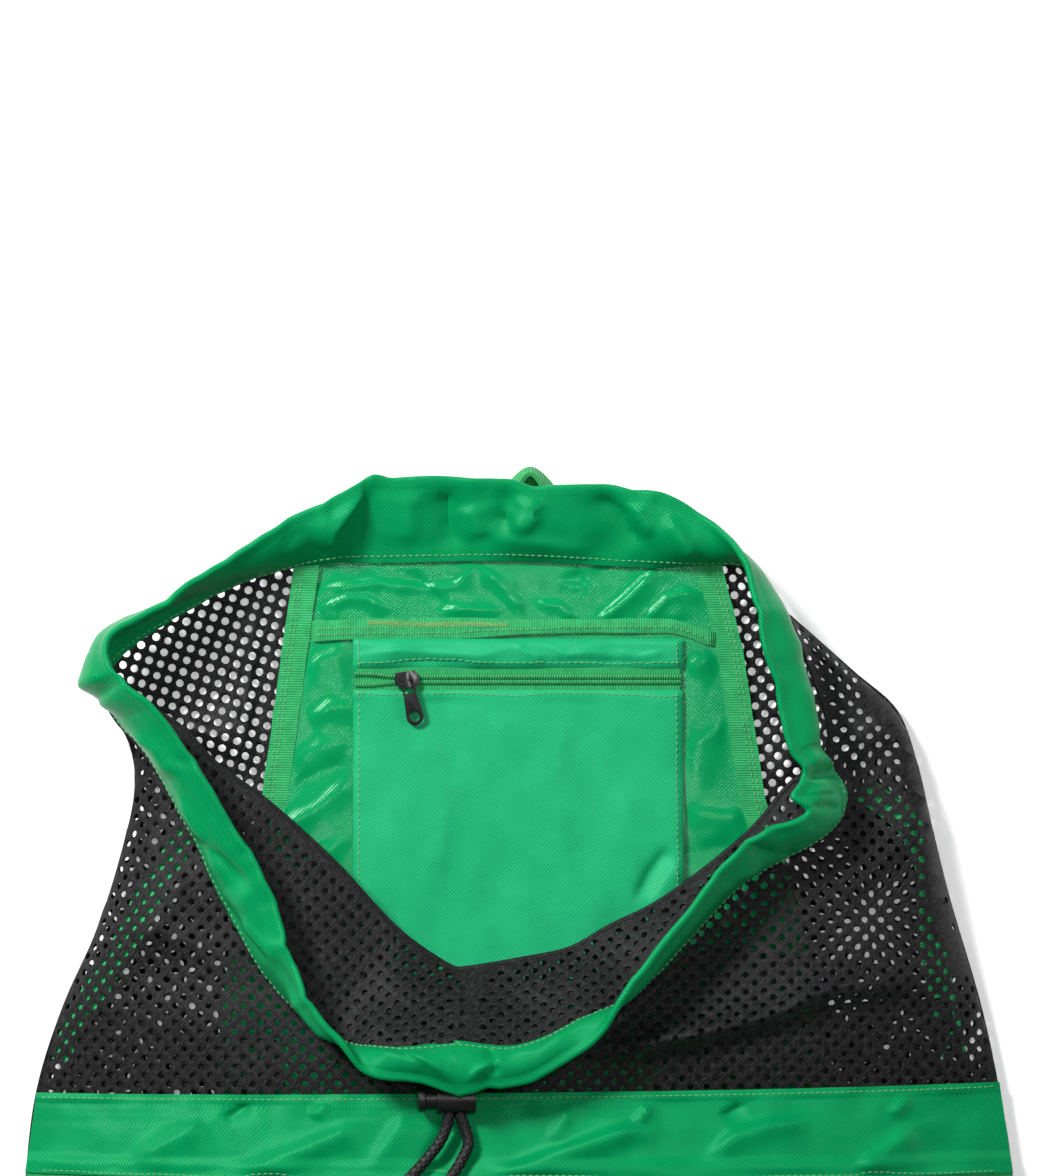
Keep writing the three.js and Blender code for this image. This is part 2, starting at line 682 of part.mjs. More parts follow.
function collarBody() {
  const frames = steps(COLLAR_STEPS).map(sleeveAt);
  const outer = frames.map((at) => sleeveRing(at, 0, 0));
  const inner = frames.map((at) => sleeveRing(at, SLEEVE.wall, 0.14));
  const n = outer[0].length;
  const hollow = outer.length * n;
  const end = COLLAR_STEPS * n;
  const triangles = [];
  const quad = (a, b, c, d) => triangles.push(a, b, c, a, c, d);
  for (let k = 0; k < n; k++) {
    const next = (k + 1) % n;
    for (let i = 0; i < COLLAR_STEPS; i++) {
      const a = i * n + k;
      const b = i * n + next;
      quad(a, a + n, b + n, b);
      quad(hollow + a, hollow + b, hollow + b + n, hollow + a + n);
    }
    quad(k, next, hollow + next, hollow + k);
    quad(end + next, end + k, hollow + end + k, hollow + end + next);
  }
  return bodyOf([...outer.flat(), ...inner.flat()], triangles);
}

add("collar", collarBody(), nylon());
const cordRun = steps(COLLAR_STEPS).map((t) => sleeveAt(t)(BEAD_AT));
add("drawcord_loop", tube(cordRun, CORD_RADIUS - 0.7, 6, 58), braid());

// Cord lock: a barrel with a slot for both cords, and a spring plunger with a round head.

const LOCK = { x: -27.6, y: 23, z: 54.5, radius: 6.5, length: 17, bore: 4.9, floor: 2 };
const SLOT = { length: 10.8, height: 5.6, inset: 2.2 };
const PLUNGER = { stem: 4.5, head: 5.8, headLength: 3, neck: 5.5, travel: 3.5 };
const lockEnd = LOCK.x - LOCK.length / 2;
const slotX = lockEnd + SLOT.inset + SLOT.length / 2;
const alongX = (geometry, x) => solid(geometry.rotateZ(Math.PI / 2).translate(x, LOCK.y, LOCK.z));
const slotBox = (length, x) => solid(box(length, 30, SLOT.height).translate(x, LOCK.y, LOCK.z));
const barrel = alongX(rod(LOCK.radius, LOCK.length), LOCK.x)
  .subtract(alongX(rod(LOCK.bore, LOCK.length), LOCK.x - LOCK.floor))
  .subtract(slotBox(SLOT.length, slotX));
add("cord_lock_barrel", surface(barrel), black());
const stemLength = PLUNGER.neck + LOCK.length - LOCK.floor - PLUNGER.travel - GAP;
const stemX = lockEnd - PLUNGER.neck;
const plunger = alongX(rod(PLUNGER.stem, stemLength), stemX + stemLength / 2)
  .add(alongX(rod(PLUNGER.head, PLUNGER.headLength), stemX - PLUNGER.headLength / 2 + 0.1))
  .subtract(slotBox(SLOT.length + PLUNGER.travel, slotX - PLUNGER.travel / 2));
add("cord_lock_plunger", surface(plunger), black());

// Cord tails: from under the casing, through the lock and down the pocket to a knot that ties both.

const TAIL_LEFT = [
  [-31, 38.5, 67],
  [-31, 38.5, 63.5],
  [-31, 36.5, 59],
  [-31, 31, 55],
  [-31, 23, 54.5],
  [-31, 16, 54.5],
  [-32, 11, 54.4],
  [-35, 4, 54.8],
  [-42, -5, 56.4],
  [-51, -15, 59.4],
  [-60, -30, 61],
  [-66, -52, 64],
  [-67, -76, 66.5],
  [-63, -100, 69.5],
  [-57, -120, 72.2],
  [-53, -135, 71.4],
];
const TAIL_RIGHT = [
  [-26, 38.5, 67],
  [-26, 38.5, 63.5],
  [-26, 36.5, 59],
  [-26, 31, 55],
  [-26, 23, 54.5],
  [-26, 16, 54.5],
  [-24, 10, 54.4],
  [-22.5, 3, 55.2],
  [-26, -5, 56.8],
  [-31, -13, 59.6],
  [-38, -28, 61.6],
  [-44, -50, 65.2],
  [-48, -76, 68],
  [-49, -100, 70.5],
  [-48, -120, 72.9],
  [-47.5, -135, 71.8],
];
const route = (rows) => rows.map((row) => vec(...row));
add("cord_tail_left", tube(route(TAIL_LEFT), CORD_RADIUS, 8, 28), braid());
add("cord_tail_right", tube(route(TAIL_RIGHT), CORD_RADIUS, 8, 28), braid());
const KNOT = { place: [-50.2, -143, 73.8], width: 15, length: 14, height: 12 };
const knot = new THREE.SphereGeometry(0.5, 14, 10).scale(KNOT.width, KNOT.length, KNOT.height);
add("cord_knot", knot.translate(...KNOT.place), braid());

// Grab loop: a short arch of webbing on edge behind the back of the casing.

const LOOP = { middle: 5, half: 14, foot: 281, top: 303.5, height: 9.8, low: 0.4, thick: 2 };
const loopLine = smooth([
  vec(LOOP.middle - LOOP.half, LOOP.foot, 0),
  vec(LOOP.middle - LOOP.half * 0.75, LOOP.top - 9, 0),
  vec(LOOP.middle, LOOP.top, 0),
  vec(LOOP.middle + LOOP.half * 0.75, LOOP.top - 9, 0),
  vec(LOOP.middle + LOOP.half, LOOP.foot, 0),
]);
const loopGrid = steps(16).map((t) => {
  const place = loopLine.getPoint(t);
  return [place.clone().setZ(LOOP.low), place.clone().setZ(LOOP.low + LOOP.height)];
});
add("grab_loop", wall(loopGrid, LOOP.thick), ribbon());

export default bag;
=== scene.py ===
"""A mesh equipment backpack lying on its back with its mouth pulled open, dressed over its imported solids."""

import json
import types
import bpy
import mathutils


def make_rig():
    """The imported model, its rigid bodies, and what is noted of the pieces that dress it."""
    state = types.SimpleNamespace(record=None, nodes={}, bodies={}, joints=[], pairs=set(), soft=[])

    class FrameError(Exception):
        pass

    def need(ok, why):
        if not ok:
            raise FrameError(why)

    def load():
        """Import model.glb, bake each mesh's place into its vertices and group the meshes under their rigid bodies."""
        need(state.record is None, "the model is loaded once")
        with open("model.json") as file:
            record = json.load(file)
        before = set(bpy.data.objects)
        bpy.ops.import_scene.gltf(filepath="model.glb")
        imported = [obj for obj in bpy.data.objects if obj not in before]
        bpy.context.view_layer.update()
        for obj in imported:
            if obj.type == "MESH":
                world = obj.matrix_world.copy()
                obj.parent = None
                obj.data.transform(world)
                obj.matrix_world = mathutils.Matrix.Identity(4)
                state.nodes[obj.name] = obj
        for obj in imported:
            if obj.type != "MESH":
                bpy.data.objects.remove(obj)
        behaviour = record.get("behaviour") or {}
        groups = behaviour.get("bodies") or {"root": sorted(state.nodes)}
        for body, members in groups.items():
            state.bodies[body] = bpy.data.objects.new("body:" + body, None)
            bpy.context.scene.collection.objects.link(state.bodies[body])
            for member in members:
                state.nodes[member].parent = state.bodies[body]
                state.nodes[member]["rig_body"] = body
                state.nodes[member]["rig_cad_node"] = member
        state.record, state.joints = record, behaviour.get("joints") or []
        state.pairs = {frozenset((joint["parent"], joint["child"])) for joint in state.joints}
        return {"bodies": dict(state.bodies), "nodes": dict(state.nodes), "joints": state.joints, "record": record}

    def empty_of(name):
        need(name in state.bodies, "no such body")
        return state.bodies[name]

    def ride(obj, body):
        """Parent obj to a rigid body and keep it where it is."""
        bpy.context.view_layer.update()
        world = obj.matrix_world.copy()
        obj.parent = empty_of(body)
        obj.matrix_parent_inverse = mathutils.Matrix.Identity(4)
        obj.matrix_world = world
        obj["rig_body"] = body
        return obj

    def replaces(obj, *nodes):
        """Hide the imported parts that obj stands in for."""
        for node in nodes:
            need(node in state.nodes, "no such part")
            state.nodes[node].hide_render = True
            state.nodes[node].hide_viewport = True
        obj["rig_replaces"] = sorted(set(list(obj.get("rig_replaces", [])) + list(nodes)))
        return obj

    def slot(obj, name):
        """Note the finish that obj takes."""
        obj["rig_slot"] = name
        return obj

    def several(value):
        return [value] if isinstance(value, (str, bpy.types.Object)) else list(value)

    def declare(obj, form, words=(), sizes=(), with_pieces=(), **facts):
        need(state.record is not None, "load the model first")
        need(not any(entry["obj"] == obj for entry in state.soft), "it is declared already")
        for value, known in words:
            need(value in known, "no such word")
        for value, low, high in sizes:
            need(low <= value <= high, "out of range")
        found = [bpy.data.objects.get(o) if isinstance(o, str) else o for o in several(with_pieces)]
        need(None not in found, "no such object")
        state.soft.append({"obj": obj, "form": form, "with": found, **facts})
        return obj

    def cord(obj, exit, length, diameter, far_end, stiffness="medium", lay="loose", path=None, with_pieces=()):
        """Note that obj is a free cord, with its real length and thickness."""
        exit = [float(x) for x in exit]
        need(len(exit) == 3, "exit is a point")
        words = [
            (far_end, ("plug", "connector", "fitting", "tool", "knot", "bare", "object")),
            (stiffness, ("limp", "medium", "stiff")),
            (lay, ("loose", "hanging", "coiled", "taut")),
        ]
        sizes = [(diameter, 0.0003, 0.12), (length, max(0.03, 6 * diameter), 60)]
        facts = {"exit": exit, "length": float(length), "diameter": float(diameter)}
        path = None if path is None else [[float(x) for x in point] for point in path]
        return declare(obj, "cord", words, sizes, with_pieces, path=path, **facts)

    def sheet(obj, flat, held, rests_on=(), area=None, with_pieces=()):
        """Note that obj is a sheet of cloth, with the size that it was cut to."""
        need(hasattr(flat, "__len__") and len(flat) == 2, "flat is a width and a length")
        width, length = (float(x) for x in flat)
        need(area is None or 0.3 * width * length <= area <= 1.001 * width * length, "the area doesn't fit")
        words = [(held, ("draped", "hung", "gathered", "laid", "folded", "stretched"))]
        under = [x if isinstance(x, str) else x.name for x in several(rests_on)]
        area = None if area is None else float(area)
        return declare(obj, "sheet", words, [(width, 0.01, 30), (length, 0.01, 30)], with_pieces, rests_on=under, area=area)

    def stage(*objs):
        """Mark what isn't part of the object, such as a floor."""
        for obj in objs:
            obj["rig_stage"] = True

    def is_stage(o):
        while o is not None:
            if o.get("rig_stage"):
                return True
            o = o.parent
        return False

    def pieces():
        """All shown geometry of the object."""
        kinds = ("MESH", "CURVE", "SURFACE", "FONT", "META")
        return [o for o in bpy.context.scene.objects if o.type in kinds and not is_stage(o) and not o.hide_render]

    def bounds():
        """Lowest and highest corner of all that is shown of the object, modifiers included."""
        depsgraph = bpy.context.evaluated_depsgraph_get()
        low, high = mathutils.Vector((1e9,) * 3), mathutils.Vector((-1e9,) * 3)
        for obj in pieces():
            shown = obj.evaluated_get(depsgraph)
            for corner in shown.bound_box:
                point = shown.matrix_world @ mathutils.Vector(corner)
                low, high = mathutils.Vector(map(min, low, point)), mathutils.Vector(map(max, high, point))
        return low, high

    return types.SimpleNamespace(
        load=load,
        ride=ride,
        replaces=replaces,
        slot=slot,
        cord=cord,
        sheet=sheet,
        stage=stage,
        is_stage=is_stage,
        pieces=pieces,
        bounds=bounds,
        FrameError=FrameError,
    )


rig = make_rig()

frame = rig.load()
cad_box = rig.bounds()

import json
import math

import bmesh
import bpy
import numpy as np
from mathutils import Vector, noise
from mathutils.bvhtree import BVHTree

# Camera, floor and light: the bag lies flat on a white table, seen from straight above through a long lens.
# A big soft light stands at the upper left, weaker ones at the right and overhead, in a pale room.

MM = 0.001  # sizes here are in millimetres, and meshes in metres
EYE = (1.3, 249.6, 3400)  # the camera's place
PICTURE_HEIGHT = 525  # what the picture's height covers at the bag's middle height
BAG_LEVEL = 34  # the bag's middle height
SENSOR = 36


def linear(colour):
    """An sRGB hex colour as linear red, green, blue and alpha."""
    parts = [int(colour[k : k + 2], 16) / 255 for k in (1, 3, 5)]
    return [*(((c + 0.055) / 1.055) ** 2.4 if c > 0.04045 else c / 12.92 for c in parts), 1.0]


def add_node(tree, kind, links=None, values=None, stops=(), **settings):
    """Adds a shader node with its settings, its sockets' values, the nodes or outputs linked to its sockets
    and, for a ramp of colours, its stops."""
    made = tree.nodes.new("ShaderNode" + kind)
    for key, value in settings.items():
        setattr(made, key, value)
    for socket, value in (values or {}).items():
        made.inputs[socket].default_value = value
    for socket, source in (links or {}).items():
        output = source.outputs[0] if isinstance(source, bpy.types.Node) else source
        tree.links.new(output, made.inputs[socket])
    for k, (place, colour) in enumerate(stops):
        made.color_ramp.elements[k].position = place
        made.color_ramp.elements[k].color = linear(colour)
    return made


def principled(name, roughness, **values):
    """A new material with one principled surface, its nodes' tree and that surface."""
    made = bpy.data.materials.new(name)
    made.use_nodes = True
    tree = made.node_tree
    tree.nodes.clear()
    surface = add_node(tree, "BsdfPrincipled", values={"Roughness": roughness, **values})
    add_node(tree, "OutputMaterial", {"Surface": surface})
    return made, tree, surface


def shown(thing):
    """The same object, put in the scene."""
    bpy.context.scene.collection.objects.link(thing)
    return thing


camera = shown(bpy.data.objects.new("camera", bpy.data.cameras.new("camera")))
camera.data.sensor_width = SENSOR
camera.data.lens = SENSOR * (EYE[2] - BAG_LEVEL) / PICTURE_HEIGHT
camera.data.clip_end = 100
camera.location = Vector(EYE) * MM
bpy.context.scene.camera = camera
bpy.context.scene.view_settings.view_transform = "Standard"

LIGHT_AIM = 100  # y of the place on the table that the lights face
for name, place, size, power in [
    ("key_light", (-1300, 1500, 1700), 560, 72),
    ("side_light", (1500, 1000, 1500), 900, 9),
    ("top_light", (150, 400, 2600), 300, 12),
]:
    lamp = shown(bpy.data.objects.new(name, bpy.data.lights.new(name, "AREA")))
    lamp.data.size = size * MM
    lamp.data.energy = power
    lamp.location = Vector(place) * MM
    aim = Vector((-place[0], LIGHT_AIM - place[1], -place[2]))
    lamp.rotation_euler = aim.to_track_quat("-Z", "Y").to_euler()
    lamp.visible_camera = False

room = bpy.data.worlds.new("pale_room")
room.use_nodes = True
room.node_tree.nodes["Background"].inputs["Color"].default_value = linear("#FAFCFF")
room.node_tree.nodes["Background"].inputs["Strength"].default_value = 0.16
bpy.context.scene.world = room

FLOOR_HALF = 20  # in metres
FLOOR_LEVEL = -0.0004  # in metres, just under the bag
floor_mesh = bpy.data.meshes.new("table")
corners = [(x * FLOOR_HALF, y * FLOOR_HALF, FLOOR_LEVEL) for x, y in ((-1, -1), (1, -1), (1, 1), (-1, 1))]
floor_mesh.from_pydata(corners, [], [(0, 1, 2, 3)])
table = shown(bpy.data.objects.new("table", floor_mesh))
# White paper is matt and evenly bright, and as it is lit all over it gives off a little light of its own.
white = linear("#FFFFFF")
paper = {"Base Color": white, "Emission Color": white, "Emission Strength": 0.24}
floor_mesh.materials.append(principled("white_paper", 0.8, **paper)[0])
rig.stage(table)

# Drawcord tails: two ends of one braided polyester cord, which leave the casing at the front slit, pass
# through the lock, lie down the front pocket and are tied in one knot. The plaits are real bumps.

CORD_RADIUS = 2.4
PLAITS = 8  # plaits side by side round the cord
PLAIT_LENGTH = 3.4
TAIL_LEFT = [
    (-31, 38.5, 67), (-31, 38.5, 63.5), (-31, 36.5, 59), (-31, 31, 55), (-31, 23, 54.5), (-31, 16, 54.5),
    (-32, 11, 54.4), (-35, 4, 54.8), (-42, -5, 56.4), (-51, -15, 59.4), (-60, -30, 61), (-66, -52, 64),
    (-67, -76, 66.5), (-63, -100, 69.5), (-57, -120, 72.2), (-53, -135, 71.4),
]
TAIL_RIGHT = [
    (-26, 38.5, 67), (-26, 38.5, 63.5), (-26, 36.5, 59), (-26, 31, 55), (-26, 23, 54.5), (-26, 16, 54.5),
    (-24, 10, 54.4), (-22.5, 3, 55.2), (-26, -5, 56.8), (-31, -13, 59.6), (-38, -28, 61.6),
    (-44, -50, 65.2), (-48, -76, 68), (-49, -100, 70.5), (-48, -120, 72.9), (-47.5, -135, 71.8),
]
TAIL_LENGTH = 196
KNOT_PLACE = (-50.2, -143, 73.8)
KNOT_RADIUS = 2.5
TIP_LEFT = [(-52.5, -145, 73.6), (-54, -152, 73), (-55.5, -158, 71.6), (-56.5, -163, 71.4)]
TIP_RIGHT = [(-47.5, -145, 73.6), (-46.5, -152, 73.2), (-46.5, -159, 72), (-47.5, -165, 71.6)]
BRAID_STEP = 0.6  # between the rings of the cord's mesh
BRAID_SIDES = 32


def smooth(points):
    """A smooth line through points, as a function of shares of the way counted from point to point."""
    points = np.asarray(points, float)
    ends = np.vstack([2 * points[0] - points[1], points, 2 * points[-1] - points[-2]])

    def at(share):
        place = np.clip(np.atleast_1d(share), 0, 1) * (len(points) - 1)
        first = np.minimum(place.astype(int), len(points) - 2)
        t = (place - first)[:, None]
        a, b, c, d = (ends[first + k] for k in range(4))
        ab, bc, cd = (np.sqrt(np.linalg.norm(q - p, axis=1))[:, None] for p, q in ((a, b), (b, c), (c, d)))
        leave = ((b - a) / ab - (c - a) / (ab + bc) + (c - b) / bc) * bc
        reach = ((c - b) / bc - (d - b) / (bc + cd) + (d - c) / cd) * bc
        return b + t * leave + t**2 * (3 * (c - b) - 2 * leave - reach) + t**3 * (2 * (b - c) + leave + reach)

    return at


def xyz(x, y, z):
    """Points from their x, y and z, each a number or a table of numbers."""
    return np.stack(np.broadcast_arrays(x, y, z), axis=-1)


def lengths(line):
    """Distance along a line of points from its first one."""
    return np.concatenate([[0], np.cumsum(np.linalg.norm(np.diff(line, axis=0), axis=1))])


def evenly(line, step):
    """The same line with points about a step apart."""
    far = lengths(line)
    count = max(2, int(round(far[-1] / step)) + 1)
    return np.stack([np.interp(np.linspace(0, far[-1], count), far, line[:, k]) for k in range(3)], axis=1)


def piece(name, points, faces, look, uv=None, sharp=50):
    """A mesh object of points in millimetres. A point's UV is its place on the flat cloth, in metres."""
    mesh = bpy.data.meshes.new(name)
    mesh.from_pydata((np.asarray(points) * MM).tolist(), [], [list(map(int, f)) for f in faces])
    if uv is not None:
        corners = np.zeros(len(mesh.loops), np.int32)
        mesh.loops.foreach_get("vertex_index", corners)
        mesh.uv_layers.new(name="cloth").data.foreach_set("uv", (np.asarray(uv)[corners] * MM).ravel())
    made = bmesh.new()
    made.from_mesh(mesh)
    bmesh.ops.remove_doubles(made, verts=made.verts, dist=0.00001)
    bmesh.ops.dissolve_degenerate(made, edges=made.edges, dist=0.00001)
    bmesh.ops.recalc_face_normals(made, faces=made.faces)
    made.to_mesh(mesh)
    made.free()
    mesh.shade_smooth()
    mesh.set_sharp_from_angle(angle=math.radians(sharp))
    mesh.materials.append(look)
    return shown(bpy.data.objects.new(name, mesh))


def unit(rows):
    """Each row of a table of directions, made one long."""
    return rows / np.linalg.norm(rows, axis=1, keepdims=True)


def tube(name, line, radius, look, sides):
    """A closed tube about a line. radius is a number, or a function of distances along and angles round."""
    line = np.asarray(line, float)
    run = unit(np.gradient(line, axis=0))
    side = np.cross(run[0], (0.3, 0.2, 1))
    frames = []
    for way in run:
        side = side - way * np.dot(side, way)
        side = side / np.linalg.norm(side)
        frames.append((side, np.cross(way, side)))
    side, over = np.array(frames).transpose(1, 0, 2)
    angle = np.arange(sides) * 2 * np.pi / sides
    far = lengths(line)
    reach = radius(far[:, None], angle[None]) if callable(radius) else np.full((len(line), sides), radius)
    ring = side[:, None] * np.cos(angle)[None, :, None] + over[:, None] * np.sin(angle)[None, :, None]
    points = (line[:, None] + ring * reach[..., None]).reshape(-1, 3)
    uv = np.stack(np.broadcast_arrays(angle[None] * CORD_RADIUS, far[:, None]), axis=2).reshape(-1, 2)
    faces = [
        (i * sides + k, i * sides + (k + 1) % sides, (i + 1) * sides + (k + 1) % sides, (i + 1) * sides + k)
        for i in range(len(line) - 1)
        for k in range(sides)
    ]
    faces += [range(sides)[::-1], range((len(line) - 1) * sides, len(line) * sides)]
    return piece(name, points, faces, look, uv)


def surfaced(made, surface, tint, bump=None):
    """A material, once its colour and its relief are led to its surface."""
    links = made.node_tree.links
    links.new(tint.outputs["Color"], surface.inputs["Base Color"])
    if bump:
        links.new(bump.outputs["Normal"], surface.inputs["Normal"])
    return made


def braided_polyester():
    """Dull black filament yarn: dark grey plaits, with painted shade that blackens the gaps between them, and fine
    fibres.
    """
    fibre = 0.35 * MM
    made, tree, surface = principled("braided_polyester", 0.5, **{"Specular IOR Level": 0.3})
    where = add_node(tree, "TexCoord").outputs["Object"]
    hairs = add_node(tree, "TexNoise", {"Vector": where}, {"Scale": 1 / fibre / 4, "Detail": 4})
    apart = add_node(tree, "SeparateXYZ", {"Vector": add_node(tree, "UVMap", uv_map="cloth")})
    plaits_round = PLAITS / 2 / (CORD_RADIUS * MM)
    round_way = add_node(tree, "Math", {0: apart.outputs["X"]}, {1: plaits_round}, operation="MULTIPLY")
    crossed = []
    for lean in (1, -1):
        plaits_along = lean * math.pi / (PLAIT_LENGTH * MM)
        links = {0: apart.outputs["Y"], 2: round_way}
        along = add_node(tree, "Math", links, {1: plaits_along}, operation="MULTIPLY_ADD")
        wave = add_node(tree, "Math", {0: along}, operation="COSINE")
        crossed.append(add_node(tree, "Math", {0: wave}, operation="ABSOLUTE"))
    # The plaits' pattern also paints shade: it darkens the colour to black in the gaps between the plaits.
    plait_gap_shade = add_node(tree, "Math", {0: crossed[0], 1: crossed[1]}, operation="MULTIPLY")
    level = add_node(tree, "Math", {0: plait_gap_shade, 1: hairs}, operation="MULTIPLY")
    tint = add_node(tree, "ValToRGB", {"Fac": level}, stops=[(0.06, "#030303"), (0.42, "#232325")])
    bump = add_node(tree, "Bump", {"Height": hairs}, {"Strength": 0.5, "Distance": fibre})
    return surfaced(made, surface, tint, bump)


def plaited(radius):
    """The braid's surface: rows of plaits that cross in diamonds."""

    def at(far, angle):
        left = PLAITS * angle / 2 + np.pi * far / PLAIT_LENGTH
        right = PLAITS * angle / 2 - np.pi * far / PLAIT_LENGTH
        return radius * (0.82 + 0.26 * np.sqrt(np.abs(np.cos(left) * np.cos(right))))

    return at


def braid(name, line, radius=CORD_RADIUS):
    """A length of braided cord along a line, and the points that it is built on."""
    line = evenly(line, BRAID_STEP)
    return tube(name, line, plaited(radius), cord_look, sides=BRAID_SIDES), line


def dress(thing, node, slot, flat=None, area=None, held="stretched", rests_on=("back_panel",), body="bag"):
    """Lets a piece stand for a solid, ride on its body, take a finish, and be known as a sheet of cloth."""
    if node:
        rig.replaces(thing, node)
    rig.slot(thing, slot)
    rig.ride(thing, body)
    if flat:
        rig.sheet(thing, flat=(flat[0] * MM, flat[1] * MM), held=held, rests_on=list(rests_on), area=area)
    return thing


cord_look = braided_polyester()
tails = []
for name, route in [("cord_tail_left", TAIL_LEFT), ("cord_tail_right", TAIL_RIGHT)]:
    tail, line = braid(name + "_braid", smooth(route)(np.linspace(0, 1, 600)))
    tails.append((dress(tail, name, "black_cord"), line))
turn = np.linspace(0.1, 2 * np.pi - 0.1, 160)
knot_line = xyz(
    1.55 * (np.sin(turn) + 2 * np.sin(2 * turn)),
    1.4 * (np.cos(turn) - 2 * np.cos(2 * turn)),
    -2.6 * np.sin(3 * turn),
)
knot = dress(braid("cord_knot_braid", knot_line + KNOT_PLACE, KNOT_RADIUS)[0], "cord_knot", "black_cord")
tips = []
for name, route in [("cord_tip_left", TIP_LEFT), ("cord_tip_right", TIP_RIGHT)]:
    tip = braid(name, smooth(route)(np.linspace(0, 1, 60)))[0]
    tips.append(dress(tip, None, "black_cord"))
for tail, line in tails:
    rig.cord(
        tail,
        exit=tuple(line[0] * MM),
        length=TAIL_LENGTH * MM,
        diameter=2 * CORD_RADIUS * MM,
        far_end="knot",
        stiffness="limp",
        lay="loose",
        path=(line * MM).tolist(),
        with_pieces=[knot, *tips],
    )

# Shoulder straps: flat polyester webbing folded away under the back, each sewn in at the top seam and at a
# bottom corner. They carry the bag, and lie flat between the back panel and the table.

STRAP_WIDTH = 40
STRAP_LENGTH = 570
WEBBING = 2.4  # thickness
STRAP_LEVEL = 1.3  # height of the straps' middle over the table
STRAP_LINE = [(34, 252), (62, 180), (92, 60), (104, -80), (106, -200), (104, -285)]


def spread(grid):
    """Distances over a grid's surface: along each row of points from its middle, and up each column."""
    along = np.cumsum(np.linalg.norm(np.diff(grid, axis=0, prepend=grid[:1]), axis=2), axis=0)
    up = np.cumsum(np.linalg.norm(np.diff(grid, axis=1, prepend=grid[:, :1]), axis=2), axis=1)
    return np.stack([along - along[-1:] / 2, up], axis=2)


def facing(grid):
    """Unit normals of a grid of points, rows cross columns."""
    across, up = np.gradient(grid, axis=(0, 1))
    normal = np.cross(across, up)
    return normal / np.maximum(np.linalg.norm(normal, axis=2, keepdims=True), 1e-9)


def grid_net(grid):
    """Numbers of the corners of each face in a grid of points, and of the points round its border."""
    ids = np.arange(grid[..., 0].size).reshape(grid.shape[:2])
    faces = np.stack([ids[:-1, :-1], ids[1:, :-1], ids[1:, 1:], ids[:-1, 1:]], axis=2).reshape(-1, 4)
    return faces, np.concatenate([ids[:, 0], ids[-1, 1:], ids[-2::-1, -1], ids[0, -2:0:-1]])


def walls(grid, thickness, uv=None):
    """Points, faces and UVs of a closed wall of cloth of even thickness about a grid of points."""
    offset = facing(grid) * thickness / 2
    points = np.concatenate([(grid + offset).reshape(-1, 3), (grid - offset).reshape(-1, 3)])
    top, border = grid_net(grid)
    under = len(points) // 2
    onward = np.roll(border, -1)
    rim = np.stack([onward, border, border + under, onward + under], axis=1)
    flat = (spread(grid) if uv is None else uv).reshape(-1, 2)
    return points, np.concatenate([top, top[:, ::-1] + under, rim]), np.concatenate([flat, flat])


def cloth(name, grid, thickness, look, uv=None):
    """A sheet of cloth as a mesh object."""
    points, faces, flat = walls(grid, thickness, uv)
    return piece(name, points, faces, look, flat)


def ribbon(middle, width, across):
    """A grid of points for a flat tape of a width along a line, with some points across it."""
    side = np.cross(unit(np.gradient(middle, axis=0)), (0, 0, 1))
    return middle[None] + side[None] * np.linspace(-0.5, 0.5, across)[:, None, None] * width


def woven_tape(name, colour, shade, rib, sides):
    """Ribbed woven tape: weft yarns lie across it as close ribs, and the warp shows as fine dents between
    them. rib is the ribs' spacing, and the tape's 1 mm ribs are drawn as 1.15 mm to show. sides is the way
    across the tape."""
    warp_spacing = 1.15 * rib
    sheen = {"Specular IOR Level": 0.25, "Specular Tint": linear("#9FE8B8")}
    made, tree, surface = principled(name, 0.6, **sheen)
    where = add_node(tree, "UVMap", uv_map="cloth")
    apart = add_node(tree, "SeparateXYZ", {"Vector": where})
    across, onward = (apart.outputs[k] for k in ("XY" if sides == "x" else "YX"))
    waves = []
    for way, spacing in ((onward, rib), (across, warp_spacing)):
        turns = add_node(tree, "Math", {0: way}, {1: 2 * math.pi / (spacing * MM)}, operation="MULTIPLY")
        waves.append(add_node(tree, "Math", {0: turns}, operation="SINE"))
    weft, warp = waves
    yarn = add_node(tree, "Math", {0: weft, 1: warp}, operation="MULTIPLY")
    height = add_node(tree, "Math", {0: yarn, 2: weft}, {1: 0.5}, operation="MULTIPLY_ADD")
    mottle = add_node(tree, "TexNoise", {"Vector": where}, {"Scale": 0.18 / MM, "Detail": 3})
    # The ribs' height also sets the colour: painted shade darkens the dents between ribs and painted light brightens
    # the ribs' tops, and the mottle is the tape's own uneven tone.
    level = add_node(tree, "MapRange", {"Value": height}, {"From Min": -1.5, "From Max": 1.5})
    mixed = add_node(tree, "Math", {0: level, 1: mottle}, {2: 0.12}, operation="MULTIPLY_ADD")
    tint = add_node(tree, "ValToRGB", {"Fac": mixed}, stops=[(0, shade), (0.62, colour)])
    bump = add_node(tree, "Bump", {"Height": height}, {"Strength": 0.45, "Distance": 0.25 * MM})
    return surfaced(made, surface, tint, bump)


webbing_look = woven_tape("polyester_webbing", "#2FA05A", "#0F6A36", 1.6, "x")
for name, side in [("strap_left", -1), ("strap_right", 1)]:
    middle = smooth([(side * x, y, STRAP_LEVEL) for x, y in STRAP_LINE])(np.linspace(0, 1, 120))
    strap = cloth(name + "_webbing", ribbon(middle, STRAP_WIDTH, 9), WEBBING, webbing_look)
    dress(strap, name, "green_webbing", flat=(STRAP_WIDTH, STRAP_LENGTH), held="laid")

# Back panel: one sheet of nylon twill between two bound seams, seen from its coated inner side, which is
# glossy. It is loose near the mouth, where it lies in shallow wrinkles under the casing.

